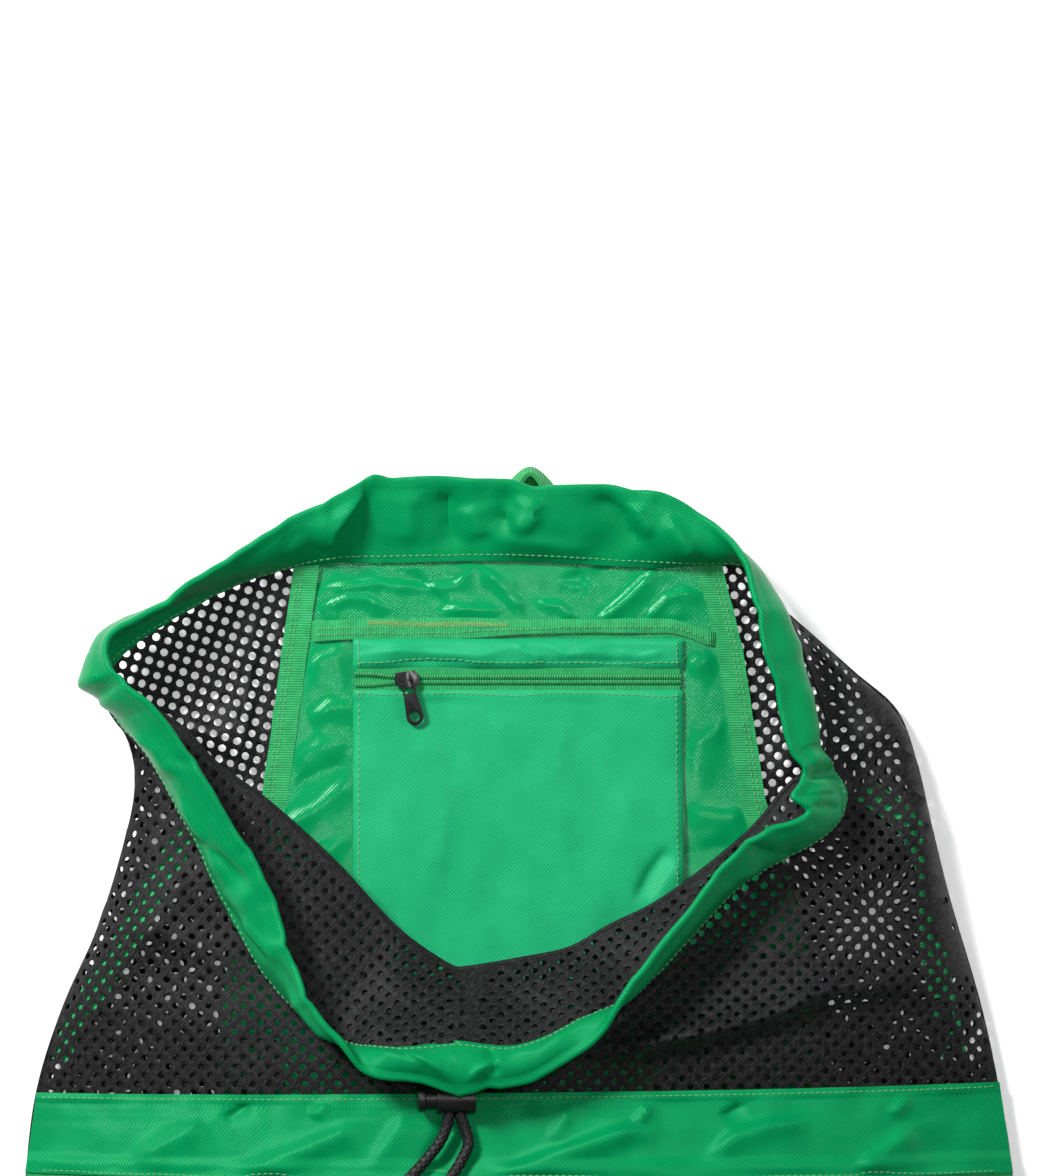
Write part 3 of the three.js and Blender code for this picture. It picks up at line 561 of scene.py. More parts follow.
BAG_END = -298  # y of the closed end
BACK_TOP = 266
BACK_LOOSE = 225  # above this level the mesh is finer, for the wrinkles
NYLON = 0.7  # thickness of the cloth
BACK_Z = 4.2  # level of the cloth's middle, as in the other names that end in Z
LEFT_SEAM = [(-140, BAG_END), (-131, 34), (-124, 94), (-110, 155), (-96, 258)]
RIGHT_SEAM = [(140, BAG_END), (132, 38), (122, 100), (105, 155), (95, 222), (86, 258)]
BACK_FOLDS = [
    # height and width, then x and y of points along each crease
    (1.3, 1.8, (-90, 249), (-62, 252), (-43, 249.5), (-28, 251), (-19, 259)),
    (1.5, 2.0, (-19, 259), (-9, 253), (0, 242), (1, 236)),
    (1.2, 1.8, (-90, 240), (-78, 245), (-68, 245), (-58, 239)),
    (1.0, 1.6, (-38, 239), (-24, 240.5), (-8, 239.5)),
    (1.2, 1.6, (7, 243), (18, 242), (27, 235)),
    (0.8, 2.4, (14, 253), (24, 250), (36, 250)),
    (1.7, 1.9, (35, 234), (49, 245), (62, 258)),
    (1.3, 1.6, (56, 234), (66, 245), (74, 248), (83, 246)),
    (-0.9, 2.4, (-50, 258), (-36, 245), (-30, 236)),
    (-0.8, 2.4, (26, 258), (30, 246)),
]


def column(rows, y):
    """The x of a table of x and y at y, by straight lines between its rows."""
    return np.interp(y, [row[1] for row in rows], [row[0] for row in rows])


def between(left, right, levels, across):
    """Points in the plane between two side lines, given as their x at levels of y, as x and y grids."""
    share = np.linspace(0, 1, across)[:, None]
    return left + (right - left) * share, np.broadcast_to(levels, (across, len(levels)))


def ridges(x, y, rows):
    """Height of creases in cloth, each along points seen from above. A crease falls off steeply on its left
    and gently on its right, and fades out at both ends."""
    x, y = np.broadcast_arrays(x, y)
    total = np.zeros(x.shape)
    for height, width, *points in rows:
        legs = lengths(np.array(points, float))
        nearest, share, side = np.full(x.shape, 1e9), np.zeros(x.shape), np.zeros(x.shape)
        for (x0, y0), (x1, y1), start, end in zip(points, points[1:], legs, legs[1:]):
            dx, dy = x1 - x0, y1 - y0
            t = np.clip(((x - x0) * dx + (y - y0) * dy) / (dx * dx + dy * dy), 0, 1)
            away = np.hypot(x - x0 - t * dx, y - y0 - t * dy)
            closer = away < nearest
            nearest = np.where(closer, away, nearest)
            share = np.where(closer, (start + t * (end - start)) / legs[-1], share)
            side = np.where(closer, dx * (y - y0) - dy * (x - x0), side)
        reach = np.where(side > 0, width, 2.4 * width)
        ends = np.clip(4 * np.minimum(share, 1 - share) + 0.15, 0, 1)
        total += height * ends / (1 + (nearest / reach) ** 2) ** 1.5
    return total


def ripple(x, y, size, seed):
    """Smooth unevenness from about -1 to 1, in swells of a size given along x and y, in millimetres."""
    x, y = np.broadcast_arrays(x, y)
    pairs = np.stack([x.ravel() / size[0], y.ravel() / size[1]], axis=1)
    return np.array([noise.noise((a, b, seed * 3.7)) for a, b in pairs]).reshape(x.shape)


def fade(value, start, end):
    """From 0 at start to 1 at end, smoothly."""
    share = np.clip((value - start) / (end - start), 0, 1)
    return share * share * (3 - 2 * share)


def nylon_twill(name, light, dark, gloss, weave, shine):
    """Nylon twill: fine diagonal ribs with a satin sheen, clear on the face and faint under the coating on the back.
    The ribs are 0.9 mm apart, drawn as 1 mm to show. weave is how clear they are, both in relief and in the painted
    light and shade that lighten their crests and darken the grooves between them, and shine the gloss's colour: light
    that has passed through dyed fibres comes back green."""
    rib = 1.0 * MM
    slant = 1.414  # the ribs lie at half a right angle
    sheen = {"Specular IOR Level": 0.36, "Specular Tint": linear(shine)}
    made, tree, surface = principled(name, gloss, **sheen)
    where = add_node(tree, "UVMap", uv_map="cloth")
    apart = add_node(tree, "SeparateXYZ", {"Vector": where})
    ways = []
    for kind, closeness in (("ADD", 1), ("SUBTRACT", 0.8)):
        lean = add_node(tree, "Math", {0: apart.outputs["X"], 1: apart.outputs["Y"]}, operation=kind)
        pace = closeness * 2 * math.pi / rib / slant
        turns = add_node(tree, "Math", {0: lean}, {1: pace}, operation="MULTIPLY")
        ways.append(add_node(tree, "Math", {0: turns}, operation="SINE"))
    yarns = add_node(tree, "Math", {0: ways[1], 2: ways[0]}, {1: 0.55}, operation="MULTIPLY_ADD")
    level = add_node(tree, "Math", {0: yarns}, {1: 0.24 * weave, 2: 0.5}, operation="MULTIPLY_ADD")
    mottle = add_node(tree, "TexNoise", {"Vector": where}, {"Scale": 0.06 / MM, "Detail": 3})
    # The ribs' pattern also sets the colour: painted light on their crests and painted shade in the grooves, mixed
    # with the cloth's own mottled tone.
    mottle_and_rib_shade = add_node(tree, "Math", {0: mottle, 2: level}, {1: 0.3}, operation="MULTIPLY_ADD")
    tint = add_node(tree, "ValToRGB", {"Fac": mottle_and_rib_shade}, stops=[(0.3, dark), (1, light)])
    crinkle = add_node(tree, "TexNoise", {"Vector": where}, {"Scale": 0.09 / MM, "Detail": 3})
    soft = add_node(tree, "Bump", {"Height": crinkle}, {"Strength": 0.55, "Distance": 0.6 * MM})
    relief = {"Strength": 0.5 * weave, "Distance": 0.1 * MM}
    fine = add_node(tree, "Bump", {"Height": yarns, "Normal": soft}, relief)
    return surfaced(made, surface, tint, fine)


twill_look = nylon_twill("nylon_twill", "#00A55F", "#006E3D", 0.36, 0.8, "#7FE2B2")
coated_look = nylon_twill("coated_nylon", "#04AA62", "#008249", 0.19, 0.5, "#C6F3DC")
levels = np.concatenate([np.linspace(BAG_END, BACK_LOOSE - 1, 40), np.linspace(BACK_LOOSE + 1, BACK_TOP, 64)])
x, y = between(column(LEFT_SEAM, levels), column(RIGHT_SEAM, levels), levels, 180)
loose = fade(y, 231, 238) * fade(BACK_TOP - y, 4, 9)
swells = 1.1 * ripple(x, y, (26, 15), 1) + 0.4 * ripple(x, y, (9, 7), 2)
lift = loose * (1.2 * ridges(x, y, BACK_FOLDS) + swells)
back = cloth("back_panel_nylon", xyz(x, y, BACK_Z + lift), NYLON, coated_look)
straps = ["strap_left", "strap_right"]
dress(back, "back_panel", "green_nylon", flat=(275, 564), area=0.136, held="laid", rests_on=straps)

# Bindings: grosgrain tape sewn over both seams of the back panel, inside the bag, with two rows of green
# stitching. The stitches are short capsules of thread that lie on the tape.

TAPE = 0.9  # thickness
TAPE_WIDTH = 11.6
BINDING_Z = 6.0
BINDING_ENDS = (-292, 263)
SEWN_OFF = (1.2, 3.2)  # from the seam outwards to its two rows of stitches
OVER_BINDING = 9  # stitch lines start here and drop on the tape
STITCH_PITCH = 2.9
STITCH_LENGTH = 2.1
THREAD_RADIUS = 0.3
THREAD_SIDES = 5
STITCH_FORM = [
    # share of the length along, and width and height over the cloth as shares of the radius
    (-0.5, 0.2, 0),
    (-0.26, 1.05, 0.5),
    (0.26, 1.05, 0.5),
    (0.5, 0.2, 0),
]


def grained(name, roughness, grain, dark, light, relief=None, **values):
    """A surface of one colour with a fine unevenness of its own. grain is how many of its spots lie side by
    side in a millimetre, and relief how clearly they are raised, and how high in millimetres."""
    made, tree, surface = principled(name, roughness, **values)
    where = add_node(tree, "TexCoord").outputs["Object"]
    spots = add_node(tree, "TexNoise", {"Vector": where}, {"Scale": grain / MM, "Detail": 2})
    tint = add_node(tree, "ValToRGB", {"Fac": spots}, stops=[(0, dark), (1, light)])
    bump = None
    if relief:
        bump = add_node(tree, "Bump", {"Height": spots}, {"Strength": relief[0], "Distance": relief[1] * MM})
    return surfaced(made, surface, tint, bump)


def add_capsule(points, faces, rings):
    """Adds a closed shape to points and faces, from rings of points one behind the other."""
    first, sides = len(points), len(rings[0])
    for ring in rings:
        points.extend(ring)
    for start in range(first, len(points) - sides, sides):
        for k in range(sides):
            a, b = start + k, start + (k + 1) % sides
            faces.append((a, b, b + sides, a + sides))
    faces.append(range(first, first + sides))
    faces.append(range(len(points) - sides, len(points)))


def stitches(name, rows, on, pitch=STITCH_PITCH, length=STITCH_LENGTH, radius=THREAD_RADIUS, look=None):
    """Rows of stitches on the piece under them, as one mesh. A row is a line of points over that piece."""
    corners = [v.co / MM for v in on.data.vertices]
    surface = BVHTree.FromPolygons(corners, [tuple(p.vertices) for p in on.data.polygons])
    turns = [2 * math.pi * k / THREAD_SIDES for k in range(THREAD_SIDES)]
    points, faces = [], []
    for row in rows:
        places = evenly(np.asarray(row, float), pitch)
        for place, way in zip(places, np.gradient(places, axis=0)):
            spot, out, _, _ = surface.find_nearest(Vector(place))
            way = Vector(way)
            way = (way - out * way.dot(out)).normalized()
            side = way.cross(out)
            spokes = [side * math.cos(turn) + out * math.sin(turn) for turn in turns]
            rings = []
            for share, swell, height in STITCH_FORM:
                middle = spot + way * share * length + out * radius * height
                rings.append([middle + spoke * radius * swell for spoke in spokes])
            add_capsule(points, faces, rings)
    return dress(piece(name, points, faces, look or thread_look, sharp=80), None, "green_tape")


tape_look = woven_tape("grosgrain_tape", "#44C278", "#0F6F38", 1.15, "x")
# Bonded polyester thread is paler than the cloth, with a slight gloss along each stitch.
thread_look = grained("sewing_thread", 0.5, 0.9, "#3A9C5C", "#74BA80", **{"Sheen Weight": 0.2})
for name, seam, seed, inside in [("binding_left", LEFT_SEAM, 2, 1), ("binding_right", RIGHT_SEAM, 3, -1)]:
    levels = np.linspace(*BINDING_ENDS, 360)
    sides = [
        column(seam, levels) + side * TAPE_WIDTH / 2 + 0.35 * ripple(0 * levels, levels, (9, 9), seed + side)
        for side in (-1, 1)
    ]
    x, y = between(*sides, levels, 9)
    humps = np.maximum(0, ripple(0 * x, y + 0.3 * x, (20, 24), seed + 5))
    kinks = 0.7 * ripple(x, y, (30, 16), seed) + 1.6 * humps**2
    tape = cloth(name + "_tape", xyz(x, y, BINDING_Z + np.maximum(kinks, -0.2)), TAPE, tape_look)
    dress(tape, name, "green_tape", flat=(TAPE_WIDTH, 558), held="laid")
    sewn = np.linspace(BINDING_ENDS[0] + 3, BINDING_ENDS[1] - 1, 200)
    lines = [xyz(column(seam, sewn) - inside * off, sewn, OVER_BINDING) for off in SEWN_OFF]
    stitches(name + "_stitches", lines, tape)

# Slip pocket: a nylon panel laid on the back between the bindings, coated side out, open along its top edge.
# A strip of the same grosgrain tape is folded over that edge and stitched twice, with a messy bar of thread.

SLIP_BOTTOM = 0
SLIP_TOP = 234
SLIP_Z = 6.2
SLIP_TAPE_Z = 7.9
SLIP_TAPE = 1.1  # thickness of the folded tape
SLIP_FOLDS = [
    (1.8, 2.4, (-94, 190), (-85, 197), (-77, 196), (-74, 189)),
    (1.6, 2.6, (-112, 140), (-92, 150), (-75, 164)),
    (1.4, 2.4, (-114, 120), (-92, 128), (-75, 138)),
    (1.2, 3.0, (-104, 172), (-90, 178), (-78, 180)),
    (1.3, 3.0, (-98, 212), (-88, 218), (-78, 222)),
    (-1.2, 3.0, (-106, 158), (-88, 168), (-76, 172)),
    (1.2, 3.0, (-118, 100), (-96, 106), (-78, 116)),
    (1.4, 3.0, (76, 150), (92, 146), (108, 150)),
    (1.3, 3.0, (76, 178), (90, 186), (98, 200)),
    (1.6, 3.0, (76, 214), (86, 218), (92, 214)),
    (1.2, 3.0, (78, 118), (96, 124), (116, 116)),
    (-1.0, 3.0, (78, 132), (94, 134), (110, 130)),
]
SLIP_INSET = 4.3  # from the seam to the pocket's side, under the binding
levels = np.linspace(SLIP_BOTTOM, SLIP_TOP, 125)
left, right = column(LEFT_SEAM, levels) + SLIP_INSET, column(RIGHT_SEAM, levels) - SLIP_INSET
x, y = between(left, right, levels, 125)
beside = fade(np.abs(x), 71, 80)  # the middle lies flat under the zip pocket
held_down = fade(x - left, 1, 8) * fade(right - x, 1, 8) * fade(SLIP_TOP - y, 0, 8)
swells = 1.1 * ripple(x, y, (18, 30), 4) + 0.4 * ripple(x, y, (8, 11), 5)
lift = held_down * (beside * (ridges(x, y, SLIP_FOLDS) + swells) + 0.3)
slip = cloth("slip_pocket_nylon", xyz(x, y, SLIP_Z - 0.5 + lift), NYLON, coated_look)
dress(slip, "slip_pocket", "green_nylon", flat=(232, 234), area=0.047, held="laid")


def slip_top(x):
    """The taped edge's middle: it rises a little to the right, then dips at its right end."""
    return 231.2 + 1.4 * fade(x, -60, 40) - 6.5 * fade(x, 66, 92) - 1.0 * fade(-x, 70, 95)


SLIP_TAPE_ENDS = (-95, 90.5)
x = np.linspace(*SLIP_TAPE_ENDS, 260)[:, None]
across = np.linspace(-4.6, 4.6, 8)[None]
crest = 0.9 * ripple(x, 0 * x, (26, 9), 6) + 0.5 * ripple(x, across, (11, 9), 7)
narrow = 1 - 0.34 * fade(x, -30, 10) + 0.06 * ripple(x, 0 * x, (14, 9), 8)
ends = fade(x, SLIP_TAPE_ENDS[0], -90) * fade(-x, -SLIP_TAPE_ENDS[1], -85)
sag = SLIP_TAPE_Z + crest * ends - 0.12 * np.abs(across) - 2.6 * (1 - ends)
edge_look = woven_tape("grosgrain_edge", "#44C278", "#0F6F38", 1.15, "y")
tape = cloth("slip_binding_tape", xyz(x, slip_top(x) + across * narrow, sag), SLIP_TAPE, edge_look)
on_slip = ["slip_pocket"]
dress(tape, "slip_binding", "green_tape", flat=(186.5, 18.8), area=0.00175, held="folded", rests_on=on_slip)
OVER_TAPE = 12  # stitch lines start here and drop on the tape
lower, upper = np.linspace(-91, 87, 120), np.linspace(-91, -12, 60)
lower_row = xyz(lower, slip_top(lower) - 2.4 + 1.2 * fade(lower, -30, 10), OVER_TAPE)
stitches("slip_binding_stitches", [lower_row, xyz(upper, slip_top(upper) + 0.9, OVER_TAPE)], tape)
# A coarser yellowish thread locks the pocket's edge in a zigzag.
gold_look = grained("old_gold_thread", 0.6, 0.5, "#5C9A48", "#8FB566", **{"Sheen Weight": 0.3})
bar = np.linspace(-68, -5, 90)
zigzag = 0.8 * np.where(np.arange(90) % 2, 1, -1)
bar_row = xyz(bar, slip_top(bar) + 3.4 - 0.03 * (bar + 68) + zigzag, OVER_TAPE)
stitches("slip_binding_bar", [bar_row], tape, pitch=0.9, length=1.8, radius=0.24, look=gold_look)

# Zip pocket: a band and a panel of nylon twill, matt side out, sewn on the slip pocket with a zip between
# them. Their edges are turned under, and drop to the cloth below in a soft roll inside a row of stitches.

PATCH = {"left": -74.5, "right": 73.5, "top": 226.5, "bottom": 36}
PATCH_Z = 9.3
ZIP_WINDOW = (203.8, 213.2)  # y of the gap where the zip shows
PATCH_FOLDS = [
    (1.5, 1.6, (-72, 219), (-54, 222), (-36, 220.5), (-16, 219.5), (-2, 223)),
    (1.3, 1.5, (-2, 225), (3, 221), (12, 218.5)),
    (1.4, 1.6, (12, 224), (22, 220), (34, 221.5), (44, 219)),
    (1.2, 1.6, (42, 222), (54, 219), (66, 221)),
    (-1.0, 2.0, (-60, 216), (-40, 216.5), (-20, 216)),
    (-1.0, 2.0, (6, 216), (26, 217), (60, 216)),
    (-2.6, 2.6, (52, 108), (58, 121), (68, 134)),
    (1.8, 3.0, (60, 106), (66, 118), (71, 126)),
    (1.4, 6.0, (-40, 190), (-34, 150), (-38, 110)),
    (1.4, 7.0, (20, 196), (14, 160), (22, 120)),
]


def turned_under(x, y, left, right, bottom, top, drop=1.5, roll=3.0):
    """How far a panel with turned edges falls below its own level near those edges."""
    inside = np.minimum(np.minimum(x - left, right - x), np.minimum(y - bottom, top - y))
    return -drop * (1 - np.clip(inside / roll, 0, 1)) ** 2


# The zip pocket's cloth is a lighter copy of the bag's twill, brighter all over than the same twill on the front
# pocket and the casing.
lighter_twill_look = nylon_twill("nylon_twill_face", "#26C485", "#008850", 0.38, 0.9, "#B4EFD2")
PATCH_LIP = 1.4  # from the edge to its row of stitches
OVER_PATCH = 14  # stitch lines start here and drop on the cloth
sides = (PATCH["left"], PATCH["right"])
for name, bottom, top, seed, flat, bulge, zip_row in [
    ("zip_pocket_band", ZIP_WINDOW[1], PATCH["top"], 9, (148, 13.3), 0.3, ZIP_WINDOW[1] + 1.7),
    ("zip_pocket_panel", PATCH["bottom"], ZIP_WINDOW[0], 10, (148, 168), 1, ZIP_WINDOW[0] - 1.7),
]:
    levels = np.linspace(bottom, top, max(24, int((top - bottom) * 0.6)))
    x, y = between(0 * levels + sides[0], 0 * levels + sides[1], levels, 110)
    up = np.clip((y - bottom) / (top - bottom), 0, 1)
    puff = 1.3 * np.sin(np.pi * (x - sides[0]) / (sides[1] - sides[0])) * np.sin(np.pi * up)
    soft = 2.6 * ripple(x, y, (34, 80), seed) + 1.0 * ripple(x, y, (14, 30), seed + 1)
    soft = soft * fade(np.abs(y - bottom), 0, 4) * fade(top - y, 0, 6)
    lift = bulge * puff + ridges(x, y, PATCH_FOLDS)
    z = PATCH_Z + lift + soft + turned_under(x, y, *sides, bottom, top)
    panel = cloth(name + "_twill", xyz(x, y, z), NYLON, lighter_twill_look)
    dress(panel, name, "green_nylon", flat=flat, held="laid", rests_on=on_slip)
    down = np.linspace(bottom + PATCH_LIP, top - PATCH_LIP, 60)
    wide = np.linspace(sides[0] + PATCH_LIP, sides[1] - PATCH_LIP, 80)
    lines = [xyz(edge, down, OVER_PATCH) for edge in (sides[0] + PATCH_LIP, sides[1] - PATCH_LIP)]
    stitches(name + "_stitches", [*lines, xyz(wide, zip_row, OVER_PATCH)], panel)

# Zips: a woven tape with two nylon coils sewn along its middle, dyed with the bag. The coils lock on one
# side of the slider and part on the other. The front pocket's zip follows the pocket's arch.

ZIP_TAPE_WIDTH = 17
ZIP_TAPE_Z = 7.9
COIL_PITCH = 1.15
COIL = (1.15, 0.62, 1.0)  # half width, half length and height of one turn
COIL_FORM = [(-1, 0.35), (-0.5, 0.95), (0.5, 0.95), (1, 0.35)]  # share of the half width, and swell
COIL_SIDES = 6
INNER_ZIP_Y = 208.5
INNER_SLIDER_X = -50.5
FRONT_ZIP_Y = -17
EDGE_Z = 7  # where the pocket's arch ends at the side edges
LEFT_EDGE = [
    (-210, BAG_END), (-224, -220), (-226, -120), (-222, -13), (-217, 25), (-206, 60), (-191, 94),
    (-181, 124), (-173, 160), (-175, 178), (-184, 203),
]
RIGHT_EDGE = [
    (210, BAG_END), (224, -220), (226, -120), (222, -13), (216, 25), (208, 62), (194, 110), (186, 142),
    (179, 172), (170, 195), (151, 212), (133, 228), (119, 240.5), (107, 256),
]
POCKET_HEIGHT = [(44, BAG_END), (62, -220), (70, -120), (61, -40), (46, 25)]  # z and y along its middle
POCKET_CROWN = 2.6  # the higher, the squarer the arch


def pocket_z(x, y):
    """Height of the front pocket's arch, which is squarer than a circle and dies away at the side edges."""
    left, right = column(LEFT_EDGE, y), column(RIGHT_EDGE, y)
    share = np.minimum(1, np.abs((2 * x - left - right) / (right - left)))
    return EDGE_Z + (column(POCKET_HEIGHT, y) - EDGE_Z) * (1 - share**POCKET_CROWN)


def coil_rows(name, rows):
    """Turns of coil along rows of places, each with the way its turns lean, as one mesh."""
    angles = [2 * math.pi * k / COIL_SIDES for k in range(COIL_SIDES)]
    points, faces = [], []
    for row, lean in rows:
        for place, way in zip(row, np.gradient(row, axis=0)):
            way = Vector(way).normalized()
            across = Vector((0, 1, 0))
            across = (across - way * across.dot(way)).normalized()
            up = way.cross(across)
            spokes = [way * math.cos(a) * COIL[1] + up * math.sin(a) * COIL[2] * 0.75 for a in angles]
            rings = []
            for share, swell in COIL_FORM:
                middle = Vector(place) + across * share * COIL[0] + way * share * lean * 0.3
                rings.append([middle + spoke * swell for spoke in spokes])
            add_capsule(points, faces, rings)
    return piece(name, points, faces, coil_look, sharp=80)


def zip_strip(name, ends, middle, height, part):
    """A zip's tape and coils from one x to another. part gives how far each coil is from the middle at x."""
    x = np.linspace(*ends, 240)[:, None]
    across = np.linspace(-ZIP_TAPE_WIDTH / 2, ZIP_TAPE_WIDTH / 2, 15)[None]
    z = height(x, middle + across) - 0.5 * np.maximum(0, 1 - np.abs(across) / 1.2) * fade(part(x), 1.3, 2.2)
    tape = cloth(name + "_tape", xyz(x, middle + across, z), TAPE, zip_tape_look)
    dress(tape, name, "green_zip")
    line = evenly(xyz(x[:, 0], middle, height(x[:, 0], middle) + 1.0), COIL_PITCH)
    rows = [(line + xyz(0, side * part(line[:, 0]), 0), side) for side in (-1, 1)]
    dress(coil_rows(name + "_coils", rows), None, "green_zip")


def inner_level(x, y):
    """Height of the inner zip's tape, which lies flat."""
    return ZIP_TAPE_Z + 0 * x + 0 * y


def inner_part(x):
    """Half the gap between the inner zip's coils, which part behind the slider."""
    return 1.2 + 1.3 * fade(-x, -INNER_SLIDER_X + 2, -INNER_SLIDER_X + 18)


def front_part(x):
    """Half the gap between the front zip's coils, which are locked."""
    return 1.2 + 0 * x


zip_tape_look = woven_tape("zip_tape_twill", "#3FB26C", "#0A7A3E", 1.2, "y")
# Extruded nylon monofilament, dyed green, is smooth and a little glossy on each turn.
coil_look = grained("nylon_coil", 0.35, 0.3, "#158A4A", "#3DB06A", IOR=1.53)
zip_strip("inner_zip", (PATCH["left"] + 1, PATCH["right"] - 1), INNER_ZIP_Y, inner_level, inner_part)
front_ends = (float(column(LEFT_EDGE, FRONT_ZIP_Y)) + 0.8, float(column(RIGHT_EDGE, FRONT_ZIP_Y)) - 0.8)
zip_strip("front_zip", front_ends, FRONT_ZIP_Y, pocket_z, front_part)

# Zip sliders and pulls: die-cast zinc with a black enamel, one slider on each coil and a tab on its bridge.
# The tab turns on its cross pin. Edges are broken by a small round, where the enamel shines.


def rounded(node, body, slot, look, edge):
    """The solid of a hard piece with its edges rounded, which stands for it."""
    source = frame["nodes"][node].data
    made = bmesh.new()
    made.from_mesh(source)
    bmesh.ops.remove_doubles(made, verts=made.verts, dist=0.00002)
    bmesh.ops.dissolve_limit(made, angle_limit=math.radians(4), verts=made.verts, edges=made.edges)
    turned = [e for e in made.edges if len(e.link_faces) == 2 and e.calc_face_angle(0) > math.radians(32)]
    rounding = {"segments": 3, "profile": 0.6, "affect": "EDGES", "clamp_overlap": True}
    bmesh.ops.bevel(made, geom=turned, offset=edge * MM, **rounding)
    bmesh.ops.recalc_face_normals(made, faces=made.faces)
    mesh = bpy.data.meshes.new(node + "_cast")
    made.to_mesh(mesh)
    made.free()
    mesh.shade_smooth()
    mesh.set_sharp_from_angle(angle=math.radians(40))
    mesh.materials.append(look)
    return dress(shown(bpy.data.objects.new(node + "_cast", mesh)), node, slot, body=body)


# Satin black enamel on a casting has a faint orange peel, and a clear line of light on the rounded edges.
enamel_gloss = {"Specular IOR Level": 0.35, "Coat Weight": 0.2, "Coat Roughness": 0.16}
enamel_look = grained("black_enamel", 0.36, 0.7, "#060606", "#131314", (0.15, 0.1), **enamel_gloss)
for node, body in [
    ("inner_slider", "bag"),
    ("inner_pull", "inner_pull"),
    ("front_slider", "bag"),
    ("front_pull", "front_pull"),
]:
    rounded(node, body, "black_metal", enamel_look, edge=0.28)

# Gussets: warp-knit polyester mesh under the bag, from the back panel's seams out to the side edges. The
# mesh has round holes in staggered rows, and each soft, rounded bar of knit between them is modelled.

MESH_HALF = 0.32  # half the thickness of the knit bars
HOLE_PITCH = (7.7, 3.9)  # between holes in a row, and between staggered rows
GUSSET_HOLE = 1.8  # radius
FRONT_HOLE = 1.5
HOLE_MARGIN = 0.5  # no hole's rim lies nearer than this to the cut edge
UNEVEN = 0.2  # share of its pitch by which the drape may stretch or squeeze a hole, or the folds close it
SLANTED = 0.71  # share of the pitch between the bars that lie at a slant about a hole
ON_CUT = 0.02  # a place no farther than this from the cut is on it
GUSSET_LOW = 1.0  # level where the gusset lies on the table
GUSSET_SEAM = 3.8  # level of the gusset's seam, under the back panel
SIDE_LEVEL = 6.4  # where the gusset meets the front, along the side edge
CORNER_RISE = 6.5  # and how much higher it is at the mouth's corner
COLLAR = [
    # seam x, y, z and rim x, y, z, from the cord's slit at the front by the left, the back and the right
    (-30, 49, 60, -27, 25, 66),
    (-50, 46, 58, -49, 32, 63),
    (-66, 46, 54, -66, 35, 64),
    (-80, 48, 44, -80, 51, 68),
    (-107, 70, 40, -97, 77, 62),
    (-131, 107, 36, -107, 110, 54),
    (-147, 142, 33, -125, 144, 51),
    (-167, 176, 30, -147, 179, 50),
    (-180, 191, 26, -162, 198, 50),
    (-188, 204, 19, -190, 207, 48),
    (-176, 222, 12, -190, 223, 42),
    (-152, 238, 8, -159, 246, 34),
    (-120, 254, 6, -124, 268, 26),
    (-87, 261, 6, -82, 292, 18),
    (-62, 261, 6, -63, 300, 14),
    (0, 262, 6, 0, 298, 15),
    (58, 259, 6, 65, 293, 16),
    (84, 260, 7, 86, 280, 21),
    (102, 259, 13, 101, 262, 42),
    (115, 240, 21, 106, 242, 49),
    (124, 212, 26, 114, 212, 52),
    (134, 178, 31, 124, 177, 53),
    (145, 158, 34, 123, 156, 56),
    (138, 141, 37, 115, 145, 58),
    (104, 122, 40, 92, 130, 62),
    (75, 93, 44, 74, 104, 66),
    (49, 67, 50, 46, 69, 74),
    (31, 60, 56, 35, 51, 70),
    (0, 47, 60, 5, 32, 66),
    (-26, 49, 60, -24, 25, 66),
]
LEFT_CORNER, RIGHT_CORNER = 9, 18  # rows where the back of the mouth meets its front
collar_rows = np.array(COLLAR, float)
collar_seam = collar_rows[:, :3]
GUSSET_FOLDS = [
    (4.5, 2.2, (-117, 246), (-120, 220), (-123, 190), (-124, 168)),
    (3.0, 2.0, (-154, 191), (-138, 187), (-126, 186)),
    (3.2, 2.6, (-150, 187), (-138, 183), (-126, 180)),
    (-1.5, 2.6, (-152, 180), (-130, 173)),
    (2.0, 2.2, (-124, 206), (-122, 186), (-120, 166)),
    (2.6, 3.0, (-132, 198), (-129, 170)),
    (3.0, 4.0, (-126, 160), (-116, 120)),
    (2.5, 4.0, (128, 190), (118, 160)),
]


def patch(bottom, top, left, right, grip=1):
    """A surface between four lines that meet at its corners, as a function of shares across and up. The
    higher grip is, the less far its sides pull its middle."""

    def at(u, v):
        low, high, west, east = bottom(u)[:, None], top(u)[:, None], left(v)[None], right(v)[None]
        u, v = u[:, None, None], v[None, :, None]
        pulls = west - low[:1] - (high[:1] - low[:1]) * v, east - low[-1:] - (high[-1:] - low[-1:]) * v
        return low + (high - low) * v + (1 - u) ** grip * pulls[0] + u**grip * pulls[1]

    return at


def flattened(grid, start, rounds=500, skip=(4, 3)):
    """The cut of the cloth: the grid laid flat from a start, with its larger distances kept."""
    picks = [np.unique(np.append(np.arange(0, n, k), n - 1)) for n, k in zip(grid.shape, skip)]
    coarse, flat = grid[np.ix_(*picks)], start[np.ix_(*picks)].copy()
    every, first, last = slice(None), slice(None, -1), slice(1, None)
    pairs = [
        ((first, every), (last, every)),
        ((every, first), (every, last)),
        ((first, first), (last, last)),
        ((last, first), (first, last)),
    ]
    rest = [np.linalg.norm(coarse[b] - coarse[a], axis=2) for a, b in pairs]
    for _ in range(rounds):
        for (a, b), length in zip(pairs, rest):
            gap = flat[b] - flat[a]
            now = np.maximum(np.linalg.norm(gap, axis=2), 1e-6)
            push = gap * (0.2 * (now - length) / now)[..., None]
            flat[a] += push
            flat[b] -= push
    for axis, pick in enumerate(picks):
        places = np.arange(grid.shape[axis])
        flat = np.apply_along_axis(lambda line: np.interp(places, pick, line), axis, flat)
    return flat


